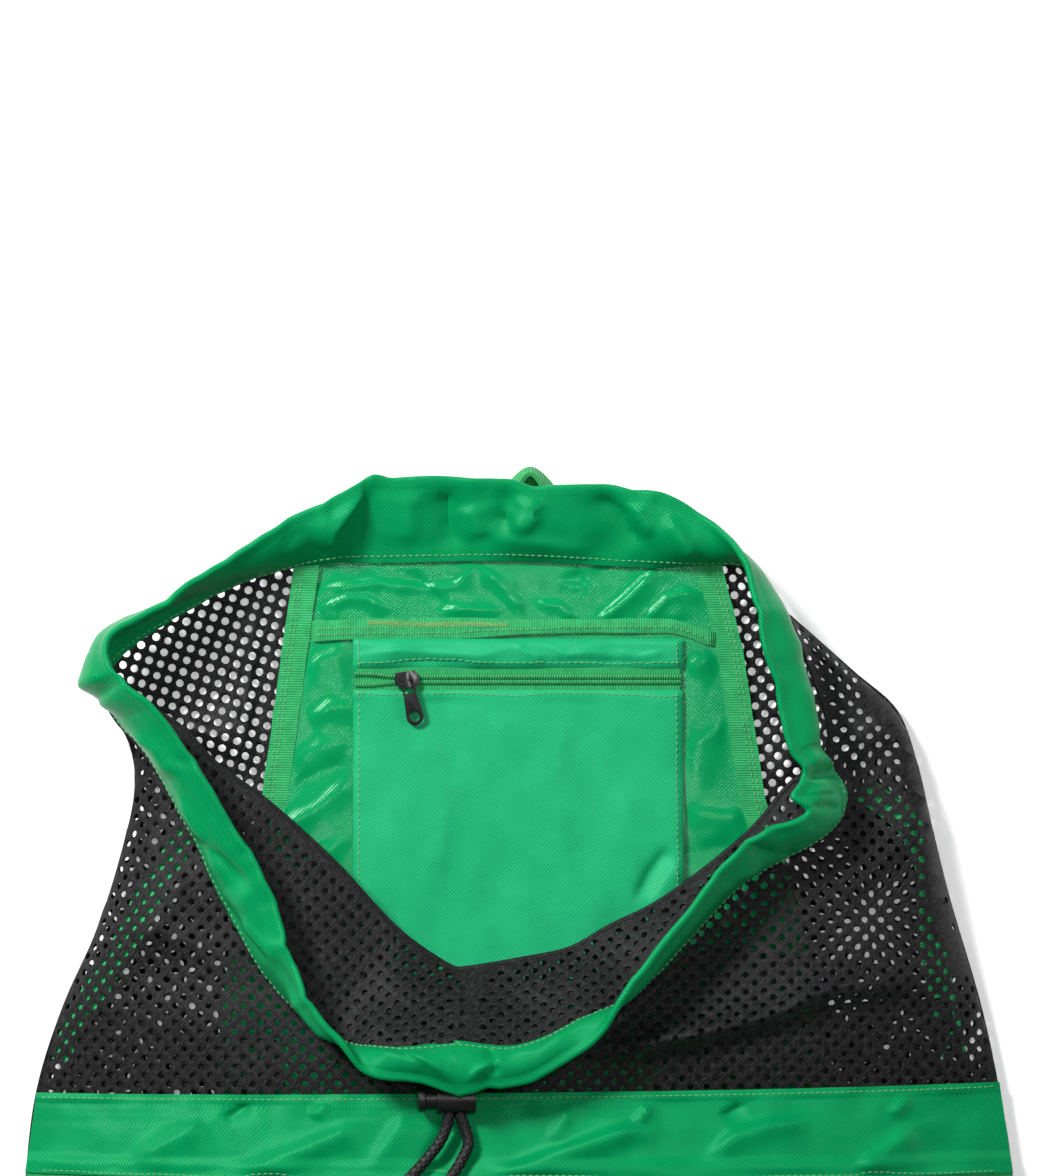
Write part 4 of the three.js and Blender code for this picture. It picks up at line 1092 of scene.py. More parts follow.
def holed_net(grid, start, turn, hole):
    """Points, faces and UVs of a grid as holed cloth, with its rows of holes straight on the cut."""
    flat = flattened(grid, start).reshape(-1, 2)
    quads, border = grid_net(grid)
    triangles = np.concatenate([quads[:, :3], quads[:, [0, 2, 3]]])
    cut = np.concatenate([flat, np.zeros((len(flat), 1))], axis=1)
    skin = BVHTree.FromPolygons(cut.tolist(), triangles.tolist())
    places, normals = grid.reshape(-1, 3), facing(grid).reshape(-1, 3)
    half = np.array([HOLE_PITCH[0] / 2, HOLE_PITCH[1]])
    spin = np.array([[math.cos(turn), -math.sin(turn)], [math.sin(turn), math.cos(turn)]])
    reach = (flat @ spin) / half
    edge_line = evenly(cut[np.append(border, border[0])], 1.0)[:, :2]
    known, points, uv = {}, [], []

    def settle(spot):
        """The place on the drape of a spot on the flat cut, its normal, and how far off the cut it was."""
        near, _, index, off = skin.find_nearest((spot[0], spot[1], 0))
        a, b, c = triangles[index]
        p, q, r = cut[a, :2], cut[b, :2], cut[c, :2]
        area = (q[0] - p[0]) * (r[1] - p[1]) - (r[0] - p[0]) * (q[1] - p[1])
        s = ((near[0] - p[0]) * (r[1] - p[1]) - (r[0] - p[0]) * (near[1] - p[1])) / area
        t = ((q[0] - p[0]) * (near[1] - p[1]) - (near[0] - p[0]) * (q[1] - p[1])) / area
        w = 1 - s - t
        place, normal = (w * table[a] + s * table[b] + t * table[c] for table in (places, normals))
        return place, normal, off

    def knit(key):
        """Numbers of the top and bottom points where bars cross or run, shared by the holes round them."""
        if key not in known:
            spot = spin @ (np.array(key) * half / 2)
            place, normal, off = settle(spot)
            out = off > ON_CUT
            thick = 0 if out else MESH_HALF
            known[key] = (len(points), len(points) + 1, out)
            points.extend([place + normal * thick, place - normal * thick])
            uv.extend([spot, spot])
        return known[key]

    directions = [(2, 0), (1, 1), (0, 2), (-1, 1), (-2, 0), (-1, -1), (0, -2), (1, -1)]
    round_hole = [(math.cos(k * math.pi / 4), math.sin(k * math.pi / 4)) for k in range(8)]
    faces = []
    low, high = np.floor(reach.min(axis=0)).astype(int) - 2, np.ceil(reach.max(axis=0)).astype(int) + 3
    for i, j in ((i, j) for i in range(low[0], high[0]) for j in range(low[1], high[1]) if (i + j) % 2 == 0):
        spot = spin @ (np.array((i, j)) * half)
        off = skin.find_nearest((spot[0], spot[1], 0))[3]
        if off > HOLE_PITCH[0] / 2:
            continue
        ring = [knit((2 * i + a, 2 * j + b)) for a, b in directions]
        if off > ON_CUT and all(out for _, _, out in ring):
            continue
        tops, bottoms = [r[0] for r in ring], [r[1] for r in ring]
        near_edge = any(out for _, _, out in ring) or off > ON_CUT
        room = np.min(np.hypot(*(edge_line - spot).T)) if near_edge else HOLE_PITCH[0]
        spans = [np.linalg.norm(points[tops[k]] - points[tops[k + 4]]) / HOLE_PITCH[0] for k in range(4)]
        upright, slanted = spans[::2], spans[1::2]
        squeezed = min(upright) < 1 - UNEVEN or min(slanted) < SLANTED * (1 - UNEVEN)
        if off > ON_CUT or room < hole + HOLE_MARGIN or squeezed or max(upright) > 1 + UNEVEN:
            faces += [tops, bottoms[::-1]]
            continue
        first = len(points)
        size = hole * (1 + 0.16 * noise.noise((spot[0] / 7, spot[1] / 7, 5)))
        for dx, dy in round_hole:
            rim_spot = spot + spin @ np.array((dx, dy)) * size
            points.append(settle(rim_spot)[0])
            uv.append(rim_spot)
        for k in range(8):
            n = (k + 1) % 8
            faces.append((tops[k], tops[n], first + n, first + k))
            faces.append((bottoms[n], bottoms[k], first + k, first + n))
    return points, faces, uv


def holed_mesh(name, layers, look, hole, plain=()):
    """Grids of points, each with its rough flat cut and the turn of its holes, as one piece of cloth. plain
    grids have no holes."""
    nets = [holed_net(grid, start, turn, hole) for grid, start, turn in layers]
    nets += [walls(grid, 2 * MESH_HALF) for grid in plain]
    points, faces, uv = [], [], []
    for net in nets:
        faces += [[k + len(points) for k in face] for face in net[1]]
        points += list(net[0])
        uv += list(net[2])
    return piece(name, points, faces, look, uv, sharp=150)


def knitted_polyester():
    """Black filament knit: dull, with short slanting loops of yarn whose grey highlight is painted into the colour.
    The loops are 0.45 mm wide and drawn as 0.9 mm to show."""
    loop = 0.9 * MM
    sheen = {"Specular IOR Level": 0.25, "Sheen Weight": 0.04}
    made, tree, surface = principled("knitted_polyester", 0.6, **sheen)
    where = add_node(tree, "UVMap", uv_map="cloth")
    slant = {"Rotation": (0, 0, -0.65), "Scale": (loop, loop / 0.28, 1)}
    loops = add_node(tree, "Mapping", {"Vector": where}, slant, vector_type="TEXTURE")
    yarn = add_node(tree, "TexNoise", {"Vector": loops}, {"Scale": 1, "Detail": 3, "Roughness": 0.65})
    # The grey streaks are painted highlights on the loops of black yarn.
    tint = add_node(tree, "ValToRGB", {"Fac": yarn}, stops=[(0.46, "#030303"), (0.74, "#333337")])
    bump = add_node(tree, "Bump", {"Height": yarn}, {"Strength": 0.7, "Distance": 0.4 * MM})
    return surfaced(made, surface, tint, bump)


knit_look = knitted_polyester()
for name, seam, edge, corners, push, turn in [
    ("gusset_left", LEFT_SEAM, LEFT_EDGE, (13, LEFT_CORNER), (-6, 3), 0.47),
    ("gusset_right", RIGHT_SEAM, RIGHT_EDGE, (17, RIGHT_CORNER), (-7, 6), 0.11),
]:
    way = 1 if corners[1] > corners[0] else -1
    inner = [(px, py, GUSSET_SEAM) for px, py in seam]
    outer = [(px, py, SIDE_LEVEL) for px, py in edge]
    inner[-1] = (seam[-1][0], seam[-1][1] + 4, GUSSET_SEAM)
    outer[-1] = (edge[-1][0] + push[0], edge[-1][1] + push[1], SIDE_LEVEL)
    top = [(px + way * 2, py + 3, 4.6) for px, py, _ in collar_seam[corners[0] + way : corners[1] : way]]
    top = [inner[-1], *top, outer[-1]]
    u, v = np.linspace(0, 1, 44), np.linspace(0, 1, 190)
    grid = patch(smooth([inner[0], outer[0]]), smooth(top), smooth(inner), smooth(outer))(u, v)
    share = u[:, None]
    lying = GUSSET_SEAM + (GUSSET_LOW - GUSSET_SEAM) * np.clip(share * 4, 0, 1)
    lying = lying + (SIDE_LEVEL - lying) * fade(share, 0.72, 1)
    hung = BACK_Z + (SIDE_LEVEL - BACK_Z) * share
    level = lying + (hung - lying) * fade(v[None], 0.85, 1)
    level = level + CORNER_RISE * fade(share, 0.45, 1) * fade(v[None], 0.84, 1)
    soft = fade(share, 0.02, 0.15) * fade(1 - share, 0.02, 0.15)
    px, py = grid[..., 0], grid[..., 1]
    level = level + soft * (ridges(px, py, GUSSET_FOLDS) + 0.6 * np.abs(ripple(px, py, (30, 26), 11)))
    grid[..., 2] = np.maximum(level, GUSSET_LOW - 0.2)
    gusset = holed_mesh(name + "_knit", [(grid, grid[..., :2], turn)], knit_look, GUSSET_HOLE)
    dress(gusset, name, "black_mesh", flat=(110, 560), area=0.031, held="laid")

# Front mesh: the same knit, sewn under the front pocket's hem. It rises over the bag, turns over at the
# mouth and comes back to the casing's seam, so its upper half is double. It drapes in soft ridges.

HEM_Y = 25
HEM_RISE = 0.011  # its slope to the right
BELOW_HEM = 5  # points of a side edge up to the hem
FRONT = [
    # x at the hem, then x and y at the fold, for each row of the casing from the left corner round the front
    (-217, -184, 203), (-212, -168, 197), (-204, -150, 186), (-188, -136, 171), (-160, -113, 154),
    (-125, -82, 126), (-92, -59, 101), (-76, -49, 92), (-58, -39, 85), (-32, -28, 79), (-27, -25, 79),
    (2, 0, 83), (34, 23, 88), (60, 41, 98), (88, 63, 109), (125, 104, 141), (165, 122, 162),
    (190, 135, 170), (202, 139, 182), (208, 130, 214), (212, 119, 240), (216, 107, 256),
]
FOLD_LEVEL = (13, 26)  # height of the lower layer at the fold, at its corners and its middle
CREASE = 1.2  # radius of the fold
SKY = 300  # higher than any part of the bag
FOLD_RUN = 8  # the way the mesh runs at the fold is taken over this many steps
IN_SIGHT = slice(2, 122)  # columns of the layer inside the mouth that the casing doesn't hide
SLACK_START = 4  # steps from the fold to the slack layer
MOUTH_SLACK = 1.8  # a second layer of slack mesh hangs this far under the one inside the mouth
TUCKS = [
    # how far they hang under the outer layer, and their lower and upper edges seen from above
    (
        3.2,
        [(24, 39), (70, 48), (109, 55), (134, 66), (176, 70)],
        [(34, 52), (62, 76), (84, 88), (126, 85), (176, 80)],
    ),
    (1.6, [(60, 28), (110, 28), (160, 29), (203, 30)], [(70, 46), (110, 53), (136, 63), (192, 66)]),
    (1.6, [(-206, 26), (-170, 26), (-135, 27), (-104, 27)], [(-194, 58), (-168, 64), (-144, 52), (-108, 48)]),
    (2.6, [(-154, 106), (-138, 96), (-114, 80)], [(-147, 146), (-136, 134), (-116, 108)]),
]
MESH_BULGE = 9  # how far the middle of the outer layer rises
MESH_RIDGES = [
    (11.0, 3.0, (178, 74), (133, 68), (109, 57), (70, 49), (34, 41)),
    (14.0, 3.0, (174, 191), (158, 182), (139, 171)),
    (4.0, 8.0, (-150, 118), (-176, 84), (-200, 48)),
    (2.2, 5.0, (36, 38), (64, 46), (96, 54)),
    (2.5, 4.0, (-170, 140), (-150, 110)),
    (2.5, 5.0, (-140, 88), (-180, 100)),
    (3.0, 5.0, (182, 150), (166, 132), (146, 112)),
    (2.5, 5.0, (196, 84), (170, 60)),
]


def hem_at(x):
    """The y of the front pocket's hem, which rises a little to the right."""
    return HEM_Y + HEM_RISE * x


front = np.array(FRONT, float)
front_rows = [(LEFT_CORNER - k) % len(COLLAR) for k in range(len(FRONT))]
middle = np.sqrt(np.abs(np.sin(np.pi * np.arange(len(FRONT)) / (len(FRONT) - 1))))
fold_level = FOLD_LEVEL[0] + (FOLD_LEVEL[1] - FOLD_LEVEL[0]) * middle
hem_line = smooth(xyz(front[:, 0], hem_at(front[:, 0]) - 2.5, pocket_z(front[:, 0], HEM_Y) - 1.2))
fold_line = smooth(xyz(front[:, 1], front[:, 2], fold_level))
seam_line = smooth(collar_seam[front_rows])


def side_line(edge, start, end):
    """A side of the front mesh, as a function of the share of its height over the hem."""
    points = [(px, py, SIDE_LEVEL) for px, py in edge[BELOW_HEM:-1]]
    line = smooth([start, *points, end])(np.linspace(0, 1, 400))

    def at(v):
        level = start[1] + (end[1] - start[1]) * v
        return np.stack([np.interp(level, line[:, 1], line[:, k]) for k in range(3)], axis=1)

    return at


front_patch = patch(
    hem_line,
    fold_line,
    side_line(LEFT_EDGE, hem_line(0)[0], fold_line(0)[0]),
    side_line(RIGHT_EDGE, hem_line(1)[0], fold_line(1)[0]),
    grip=4,
)


def front_outer(u, v):
    """The front mesh's outer layer, from the hem at v = 0 to the fold at v = 1."""
    grid = front_patch(u, v)
    share = (1 - np.abs(2 * u - 1) ** 8)[:, None] * np.sin(np.pi * v)[None]
    px, py = grid[..., 0], grid[..., 1]
    grid[..., 2] += share * (MESH_BULGE + ridges(px, py, MESH_RIDGES) + 1.6 * ripple(px, py, (34, 22), 13))
    return grid


u = np.linspace(0, 1, 150)
outer = front_outer(u, np.linspace(0, 1, 34))
fold = outer[:, -1]
onward = fold - outer[:, -FOLD_RUN]
onward[:, 2] = 0
onward = unit(onward)
turned = np.linspace(-0.4, math.pi + 0.4, 10)[None, :, None]
upward = np.array((0, 0, 1))
round_fold = np.sin(turned) * onward[:, None] - np.cos(turned) * upward
crease = (fold + CREASE * upward)[:, None] + CREASE * round_fold
over, seam = fold + 2 * CREASE * upward, seam_line(u)
end = seam + 1.5 * unit(seam - over)
way_back = []
for t in np.linspace(0, 1, 15):
    place = over + (end - over) * t
    place[:, 2] += 2.4 * math.sin(math.pi * t) * ripple(place[:, 0], place[:, 1], (26, 18), 14)
    way_back.append(place)
way_back = np.stack(way_back, axis=1)[IN_SIGHT]
slack = way_back[:, SLACK_START:] - MOUTH_SLACK * upward


def drop_on(grid):
    """A function that gives the height of a grid of points at a place, or lost if it doesn't reach there."""
    skin = BVHTree.FromPolygons(grid.reshape(-1, 3).tolist(), grid_net(grid)[0].tolist())

    def at(place, lost):
        hit = skin.ray_cast(Vector((place[0], place[1], SKY)), Vector((0, 0, -1)))[0]
        return lost if hit is None else hit[2]

    return at


return_level = drop_on(way_back)
for k in range(outer.shape[1] - 1):
    clear = 2 * MOUTH_SLACK * min(1, 8 * (1 - k / (outer.shape[1] - 1)))
    for place in outer[:, k]:
        place[2] = min(place[2], return_level(place, SKY) - clear)
outer_level = drop_on(outer)
turns = [(outer, 0.0), (way_back, 0.06), (slack, 0.5)]
for drop, *lines in TUCKS:
    lower, upper = (smooth([(px, py, 0) for px, py in line])(np.linspace(0, 1, 60)) for line in lines)
    tuck = lower[:, None] + (upper - lower)[:, None] * np.linspace(0, 1, 16)[None, :, None]
    for place in tuck.reshape(-1, 3):
        place[2] = outer_level(place, 20) - drop
    turns.append((tuck, 0.4))
layers = [(grid, grid[..., :2], turn) for grid, turn in turns]
front_knit = holed_mesh("front_mesh_knit", layers, knit_look, FRONT_HOLE, plain=[crease])
beside = ["front_pocket_band", "collar"]
dress(front_knit, "front_mesh", "black_mesh", flat=(560, 240), area=0.062, held="draped", rests_on=beside)

# Side tapes: grosgrain tape sewn over the inner side seams of the mesh, to keep its cut edges from fraying.
# They lie just under the front mesh and show as green dots through its holes.

SIDE_TAPE_DROP = 2.4  # under the front mesh
SIDE_TAPE_LENGTH = 150
LEFT_TAPE = [
    (-206, 36), (-198, 54), (-189, 71), (-176, 91), (-167, 110), (-155, 129), (-148, 145), (-145, 162),
]
RIGHT_TAPE = [(195, 40), (191, 61), (186, 85), (184, 105), (183, 125), (174, 144), (154, 160)]
for name, route in [("side_tape_left", LEFT_TAPE), ("side_tape_right", RIGHT_TAPE)]:
    middle = smooth([(px, py, 0) for px, py in route])(np.linspace(0, 1, 60))
    grid = ribbon(middle, TAPE_WIDTH, 7)
    for place in grid.reshape(-1, 3):
        place[2] = outer_level(place, 12) - SIDE_TAPE_DROP
    tape = cloth(name + "_grosgrain", grid, TAPE, tape_look)
    dress(tape, name, "green_tape", flat=(TAPE_WIDTH, SIDE_TAPE_LENGTH), rests_on=["front_mesh"])

# Front pocket: nylon twill over the lower half of the bag, in a band above its zip and a panel below. The
# hem is turned under and stitched, and the cloth puckers under it and bags out softly.

BAND_LIP, PANEL_LIP = -13.2, -20.8  # edges of the cloth on both sides of the coil
LIP_RISE = 1.3  # the lips lie on the zip's tape
CORD_X = -28  # the folds are lower where the drawcord lies on them
POCKET_FOLDS = [
    (3.9, 3.4, (-12, -12), (18, -1), (48, 9), (62, 6)),
    (3.4, 3.4, (84, -4), (96, 6), (112, 11), (130, 12)),
    (3.9, 4.2, (-124, -10), (-96, 0), (-68, 12)),
    (3.4, 4.2, (-172, -6), (-140, 12)),
    (2.8, 3.4, (-66, -8), (-56, 6), (-50, 16)),
    (3.4, 4.2, (150, -10), (178, 8)),
    (-3.4, 4.2, (-40, -8), (-30, 14)),
    (2.2, 2.0, (14, 4), (22, 18)),
    (2.1, 1.7, (52, 12), (58, 20)),
    (-2.2, 1.9, (90, 14), (100, 20)),
    (2.2, 1.9, (-92, 14), (-86, 21)),
    (-2.2, 2.0, (-132, 12), (-120, 20)),
    (2.2, 2.0, (166, 14), (174, 22)),
    (5.2, 9.6, (-150, -60), (-100, -90), (-60, -110)),
    (5.2, 9.6, (40, -90), (90, -84), (140, -60)),
    (6.0, 11.2, (-120, -200), (-40, -190), (30, -170)),
    (5.2, 9.6, (60, -220), (120, -200), (170, -160)),
    (3.9, 7.2, (-180, -250), (-100, -270)),
    (3.9, 6.4, (20, -262), (120, -280)),
]


def pocket_cloth(name, bottom, top, up, seed, hemmed):
    """The front pocket's cloth between two levels, in up rows of points. A hemmed piece ends at the hem."""
    level = np.linspace(bottom, top, up)[None]
    share = np.linspace(0, 1, 220)[:, None]
    left, right = column(LEFT_EDGE, level), column(RIGHT_EDGE, level)
    x = left + (right - left) * share
    rise = hem_at(x) - HEM_Y if hemmed else 0 * x
    y = level + rise * (level - bottom) / (top - bottom)
    free = fade(np.minimum(share, 1 - share), 0.0, 0.05)
    free = free * fade(level - bottom, 0, 5) * fade(top - level, 1.5, 6)
    puckers = 1.1 * ripple(x, y, (10, 40), seed) * fade(level - top, -22, -2) * fade(top - level, 0.2, 2.5)
    deeper = 1 + 0.3 * fade(np.abs(x - CORD_X), 25, 60)
    lift = deeper * ridges(x, y, POCKET_FOLDS) + 1.8 * ripple(x, y, (52, 34), seed + 1)
    lift = free * (lift + 0.8 * ripple(x, y, (19, 15), seed + 2))
    hem = 0.5 * fade(level - top, -4.5, -3.2)
    hem = hem + LIP_RISE * fade(-np.abs(level - FRONT_ZIP_Y), -14, -9)
    return cloth(name + "_twill", xyz(x, y, pocket_z(x, level) + lift + puckers + hem), NYLON, twill_look)


band = pocket_cloth("front_pocket_band", BAND_LIP, HEM_Y, 44, 15, True)
dress(band, "front_pocket_band", "green_nylon", flat=(460, 33), rests_on=["front_mesh", "front_zip"])
panel = pocket_cloth("front_pocket_panel", BAG_END, PANEL_LIP, 130, 18, False)
dress(panel, "front_pocket_panel", "green_nylon", flat=(480, 276), rests_on=["bottom_panel", "front_zip"])
x = np.linspace(-214, 213, 400)
hem_row = xyz(x, hem_at(x) - 2.0, pocket_z(x, HEM_Y) + 2)
low_row = xyz(x, BAND_LIP + 1.3, pocket_z(x, BAND_LIP) + 4)
stitches("front_pocket_band_stitches", [hem_row, low_row], band)
panel_row = xyz(x, PANEL_LIP - 2.2, pocket_z(x, PANEL_LIP) + 4)
x = x[8:-8]
end_row = xyz(x, BAG_END + 3, pocket_z(x, BAG_END + 3) + 5)
y = np.linspace(BAG_END + 5, PANEL_LIP - 5, 200)
side_rows = []
for edge, way in ((LEFT_EDGE, 1), (RIGHT_EDGE, -1)):
    beside = column(edge, y) + way * 5
    side_rows.append(xyz(beside, y, pocket_z(beside, y) + 5))
stitches("front_pocket_panel_stitches", [panel_row, end_row, *side_rows], panel)

# Bottom panel: nylon twill that closes the end of the bag, rounded outwards by what the bag holds. It is
# sewn to the back at the table, and its top edge goes in under the front pocket.

BOTTOM_HALF = 209
BOTTOM_PUFF = 6  # how far its middle is rounded outwards
BOTTOM_TUCK = (2.0, 0.7)  # how far the top edge goes in under the pocket's lip, and down
u, v = np.linspace(0, 1, 160)[:, None], np.linspace(0, 1, 30)[None]
x = -BOTTOM_HALF + 2 * BOTTOM_HALF * u + 0 * v
round_out = BOTTOM_PUFF * np.sin(np.pi * u) * np.sin(np.pi * v)
tuck = fade(v, 0.88, 1)
z = 0.5 + (pocket_z(x, BAG_END) - 0.5) * v - BOTTOM_TUCK[1] * tuck
y = BAG_END - 0.8 - round_out + 0.7 * np.sin(np.pi * v) * ripple(x, z, (24, 14), 21) + BOTTOM_TUCK[0] * tuck
bottom = cloth("bottom_panel_twill", xyz(x, y, z), NYLON, twill_look)
dress(bottom, "bottom_panel", "green_nylon", flat=(425, 45), area=0.0125, rests_on=["front_pocket_panel"])

# Casing: a strip of nylon twill folded in two round the mouth, with the drawcord in its fold. Both edges
# are sewn to the bag by one dashed row near the seam, and the rim puckers where the cord gathers it.

COLLAR_WIDTH = 38
BEAD_AT = 0.92  # share of the strip's width where the cord runs
BEAD_RADIUS = 2.3
BEAD_FLAT = 0.7  # its height is less than its width
CASING_CLOTH = 0.5  # thickness
SEWN_AT = 0.075  # share of the width where the casing is stitched
SLEEVE_AT = 0.86  # and where the sleeve for the cord begins
HIDDEN_CORD = 0.9  # radius of the cord in its sleeve
SLEEVE_HALF = (0.5, 0.9)  # half thickness at the seam, and by the cord
CASING_STEPS = 660
PLEATS = 64  # creases that the drawcord gathers into the strip
CASING_FOLDS = [
    (3.9, 1.5, (-172, 217), (-181, 209.5), (-192, 202)),
    (-3.0, 2.0, (-170, 213), (-180, 205), (-190, 198)),
    (3.0, 1.8, (-100, 74), (-88, 60), (-80, 50)),
    (-2.5, 2.0, (-110, 92), (-96, 76), (-86, 62)),
    (-3.9, 1.5, (-14, 47), (-12, 40), (-9, 32)),
    (3.2, 1.6, (-26, 27), (-36, 35), (-50, 43)),
    (2.8, 1.6, (-26, 27), (-19, 34), (-8, 40)),
    (1.7, 3.0, (-62, 44), (-50, 38), (-40, 36)),
    (1.6, 3.0, (-4, 44), (10, 42), (24, 52)),
    (3.0, 3.0, (-170, 188), (-158, 180), (-148, 168)),
    (3.7, 2.8, (-148, 162), (-138, 142), (-126, 118)),
    (-3.4, 2.6, (-142, 142), (-128, 130), (-116, 116)),
    (-3.4, 2.2, (-132, 114), (-120, 98), (-106, 84)),
    (3.2, 2.4, (-120, 104), (-110, 92), (-102, 82)),
    (4.5, 2.6, (-63, 301), (-74, 290), (-84, 278), (-87, 262)),
    (2.5, 4.0, (-48, 294), (-50, 268)),
    (-4.3, 2.6, (-33, 295), (-31, 280), (-28, 266)),
    (3.2, 3.0, (-20, 288), (-16, 272)),
    (-4.5, 2.6, (-4, 299), (-4, 286), (-9, 275)),
    (3.8, 3.0, (8, 293), (6, 282), (-2, 274)),
    (2.8, 4.0, (-12, 272), (10, 270), (32, 266)),
    (-4.8, 2.6, (34, 297), (46, 284), (56, 268)),
    (3.5, 2.7, (44, 297), (54, 286), (62, 274)),
    (-4.0, 2.6, (70, 293), (82, 285), (94, 278)),
    (3.1, 3.0, (66, 284), (84, 266)),
    (-2.2, 4.7, (-104, 280), (-84, 264)),
    (2.1, 3.0, (120, 206), (126, 176)),
    (1.6, 3.0, (108, 240), (118, 214)),
    (3.9, 1.8, (148, 172), (136, 170), (120, 169)),
    (-3.9, 1.8, (148, 167), (136, 165.5), (120, 165)),
    (2.1, 2.6, (124, 157), (134, 159), (144, 156)),
    (-3.0, 1.8, (124, 150.5), (134, 152), (140, 150)),
    (2.1, 3.0, (92, 122), (106, 130), (120, 136)),
    (-2.3, 2.4, (100, 136), (112, 134), (124, 134)),
]
SLIT = [
    # the strip's two ends, which meet over the cord's way out
    (-27.2, 49, 58.4, -25.0, 24.6, 63.8),
    (-28.8, 49, 60.2, -26.6, 24.6, 66.6),
]
CORNER = [
    # the left corner, where the strip rolls over inwards
    (-188, 204, 19, -177, 212, 50),
    (-178, 220, 13, -181, 226, 47),
    (-152, 238, 8, -157, 243, 35),
]
STRIP_BULGE = [
    # row of the strip, and how far its middle swells outwards there
    (8, 0), (9, -9), (10, -10), (11, -5), (12, 0), (17, 0), (18, -3), (19, -5.5), (20, -6), (21, -5),
    (22, 0),
]
RIGHT_SIDE = [
    # the right of the mouth, where the strip rolls outwards over its seam
    (102, 259, 13, 100, 262, 42),
    (115, 240, 21, 102.5, 242, 49),
    (124, 212, 26, 110.5, 212, 52),
    (133, 178, 31, 119, 177, 53),
]
KNOB = [
    # the tight turn at the right of the mouth
    (141, 168, 32.5, 126, 167, 53),
    (146, 158, 34, 119.5, 156.5, 57),
    (144.5, 149, 35.5, 127, 150.5, 56),
    (138, 141, 37, 121, 147, 58),
    (122, 131, 38.5, 106, 140.5, 60),
]
RIM_NICKS = [
    # x and y on the rim, push outwards along the cloth, width
    (-14, 28, -2.0, 4.0),
    (4, 299, -2.5, 5.0),
    (52, 296, -2.0, 6.0),
    (-64, 300, 1.5, 5.0),
    (-133, 264, -2.2, 5.0),
    (-117, 276, 1.6, 5.0),
    (-148, 252, 1.2, 4.0),
]
front_left, back, front_right = collar_rows[1:9], collar_rows[12:18], collar_rows[24:-1]
casing_rows = np.vstack([SLIT[:1], front_left, CORNER, back, RIGHT_SIDE, KNOB, front_right, SLIT[1:]])
t = np.linspace(0, 1, CASING_STEPS)
seam, rim = smooth(casing_rows[:, :3])(t), smooth(casing_rows[:, 3:])(t)
run = unit(np.gradient(seam, axis=0)) + unit(np.gradient(rim, axis=0))
across = rim - seam
normal = unit(np.cross(run, across))
chord = np.linalg.norm(across, axis=1)
onward = across / chord[:, None]
# The strip bows up or down where it is wider than the way from its seam to its rim.
arc = np.sqrt(np.maximum(0, COLLAR_WIDTH - chord) * chord * 3 / 8)
bow = np.minimum(arc, 0.4 * chord) * normal[:, 2] * (0.3 + 0.6 * np.abs(normal[:, 2]))
bow += np.interp(t * (len(casing_rows) - 1), *np.transpose(STRIP_BULGE))
far = lengths((seam + rim) / 2)
chance = np.random.default_rng(7)
pleats = [
    (
        place,
        chance.integers(0, 2),  # root at the seam or at the rim
        chance.uniform(0.4, 1.1),  # reach across
        chance.uniform(-0.6, 0.6),  # slant
        chance.uniform(-2.2, 2.0),  # depth
        chance.uniform(2.0, 5.5),  # width
    )
    for place in np.linspace(4, far[-1] - 4, PLEATS) + chance.uniform(-7, 7, PLEATS)
]
knots = np.arange(0, far[-1] + 30, 17.0)
knots = knots + chance.uniform(-6, 6, len(knots))
rim_wave = np.interp(far, knots, chance.uniform(-1.7, 1.7, len(knots)))
for x0, y0, push, width in RIM_NICKS:
    rim_wave += push * np.exp(-((rim[:, 0] - x0) ** 2 + (rim[:, 1] - y0) ** 2) / width**2)


def gathered(share):
    """How far the pleats lift the strip along a line at a share of its width."""
    total = np.zeros(len(far))
    for place, root, reach, slant, depth, width in pleats:
        off = np.abs(far - place - slant * COLLAR_WIDTH * (share - root)) / width
        total += depth * np.exp(-(off**1.5)) * max(0, 1 - abs(share - root) / reach) ** 1.2
    return total


def casing_at(share, side):
    """A line along the casing at a share of its width, on its upper or lower face."""
    level = share * COLLAR_WIDTH
    swells = 1.7 * ripple(far, level, (46, 22), 23) + 0.8 * ripple(far, level, (17, 26), 24)
    puckers = 0.5 * ripple(far, share * 12, (6, 12), 22) * math.exp(-share * 7)
    place = seam + (across + onward * (rim_wave * share)[:, None]) * share
    loose = math.sin(math.pi * min(0.5, 0.06 + share))
    folds = ridges(place[:, 0], place[:, 1], CASING_FOLDS) * np.sign(normal[:, 2])
    folds = folds * (1 - 0.7 * fade(share, 0.72, 0.9))
    half = SLEEVE_HALF[0] + (SLEEVE_HALF[1] - SLEEVE_HALF[0]) * min(1, share * 2)
    free = fade(far, 0, 12) * fade(far[-1] - far, 0, 12)
    lift = 4 * bow * share * (1 - share) + free * (loose * (folds + swells + gathered(share)) + puckers)
    return place + normal * (lift + side * half)[:, None]


bead_line = casing_at(BEAD_AT, 0)
ring = [casing_at(s, 1) for s in np.linspace(0, SLEEVE_AT, 26)]
for angle in np.radians([66, 40, 14, -14, -40, -66]):
    upright = normal * BEAD_RADIUS * BEAD_FLAT * math.sin(angle)
    ring.append(bead_line + upright + onward * BEAD_RADIUS * math.cos(angle))
ring += [casing_at(s, -1) for s in np.linspace(SLEEVE_AT, 0, 16)]
grid = np.stack(ring, axis=1)
width = lengths(grid[CASING_STEPS // 2])
flat = np.stack(np.broadcast_arrays(far[:, None], width[None]), axis=2)
casing = cloth("collar_casing", grid, CASING_CLOTH, twill_look, flat)
dress(casing, "collar", "green_nylon", flat=(980, 76), held="gathered", rests_on=["front_mesh", "back_panel"])
rows = [casing_at(SEWN_AT, side) + normal * side * 1.5 for side in (1, -1)]
stitches("collar_stitches", rows, casing)
cord_loop = tube("drawcord_loop_braid", evenly(bead_line, 2.5), HIDDEN_CORD, cord_look, sides=10)
dress(cord_loop, "drawcord_loop", "black_cord")

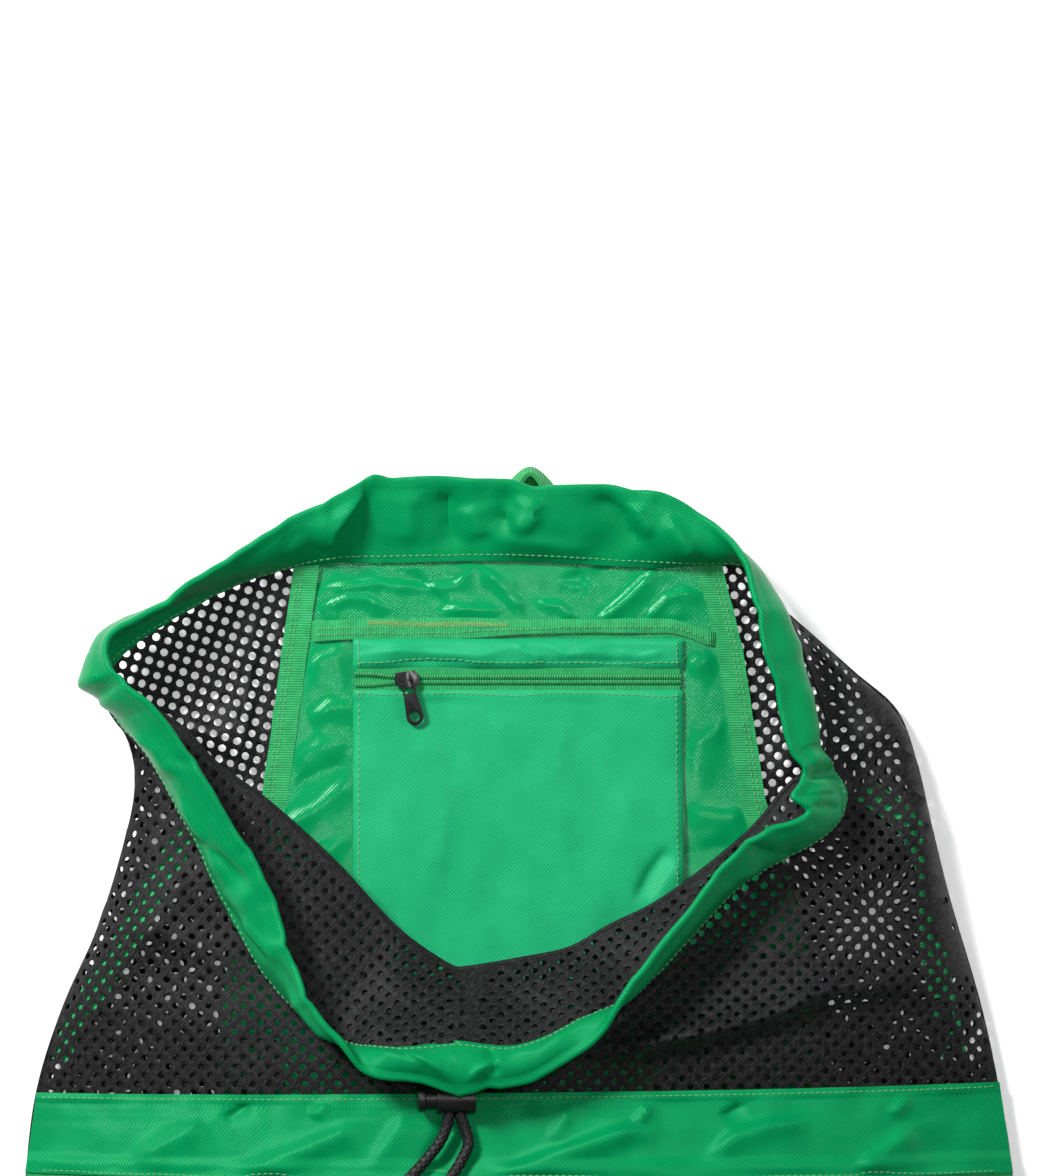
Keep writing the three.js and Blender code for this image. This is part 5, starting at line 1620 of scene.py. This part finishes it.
# Cord lock: a moulded black barrel with a slot for both cords, and a spring plunger with a round head.
# Pressing the head lines the slots up and frees the cords.

# Injection-moulded acetal is black, waxy and finely matt from the mould.
acetal_look = grained("moulded_acetal", 0.4, 1.2, "#080808", "#171718", (0.2, 0.08), IOR=1.48)
rounded("cord_lock_barrel", "bag", "black_plastic", acetal_look, edge=0.4)
rounded("cord_lock_plunger", "lock_plunger", "black_plastic", acetal_look, edge=0.35)

# Grab loop: a short arch of polyester webbing sewn behind the back of the casing, by which the bag hangs.
# Its two ends lie flat side by side under the arch.

LOOP_END = 1.4  # thickness of its ends
LOOP = {"middle": 5, "half": 14, "foot": 281, "top": 303.5, "height": 9.8, "low": 0.4, "thick": 1.8}
loop_line = smooth(
    [
        (LOOP["middle"] - LOOP["half"], LOOP["foot"], 0),
        (LOOP["middle"] - LOOP["half"] * 0.75, LOOP["top"] - 9, 0),
        (LOOP["middle"], LOOP["top"], 0),
        (LOOP["middle"] + LOOP["half"] * 0.75, LOOP["top"] - 9, 0),
        (LOOP["middle"] + LOOP["half"], LOOP["foot"], 0),
    ]
)(np.linspace(0, 1, 70))
lean = np.linspace(0, 1, 9)[None, :, None]
foot = np.array((LOOP["middle"], LOOP["foot"], 0))
grid = foot + (loop_line - foot)[:, None] * (1 - np.array((0.42, 0.12, 0)) * lean)
grid = grid + np.array((0, 0, 1)) * (LOOP["low"] + LOOP["height"] * lean)
loop_look = woven_tape("loop_webbing", "#3FAE64", "#0F7038", 1.3, "y")
loop = cloth("grab_loop_webbing", grid, LOOP["thick"], loop_look)
dress(loop, "grab_loop", "green_webbing", flat=(10, 62), held="folded", rests_on=["collar"])
x, y = np.meshgrid(np.linspace(-8.5, 8.5, 12), np.linspace(-20, -3.2, 12), indexing="ij")
ends = xyz(LOOP["middle"] + x * (1 - 0.02 * (y + 20)), LOOP["top"] + y, 1.2)
dress(cloth("grab_loop_ends_webbing", ends, LOOP_END, loop_look), None, "green_webbing")

with open("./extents.json", "w") as out:
    json.dump({"cad": [list(c) for c in cad_box], "visual": [list(c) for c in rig.bounds()]}, out)
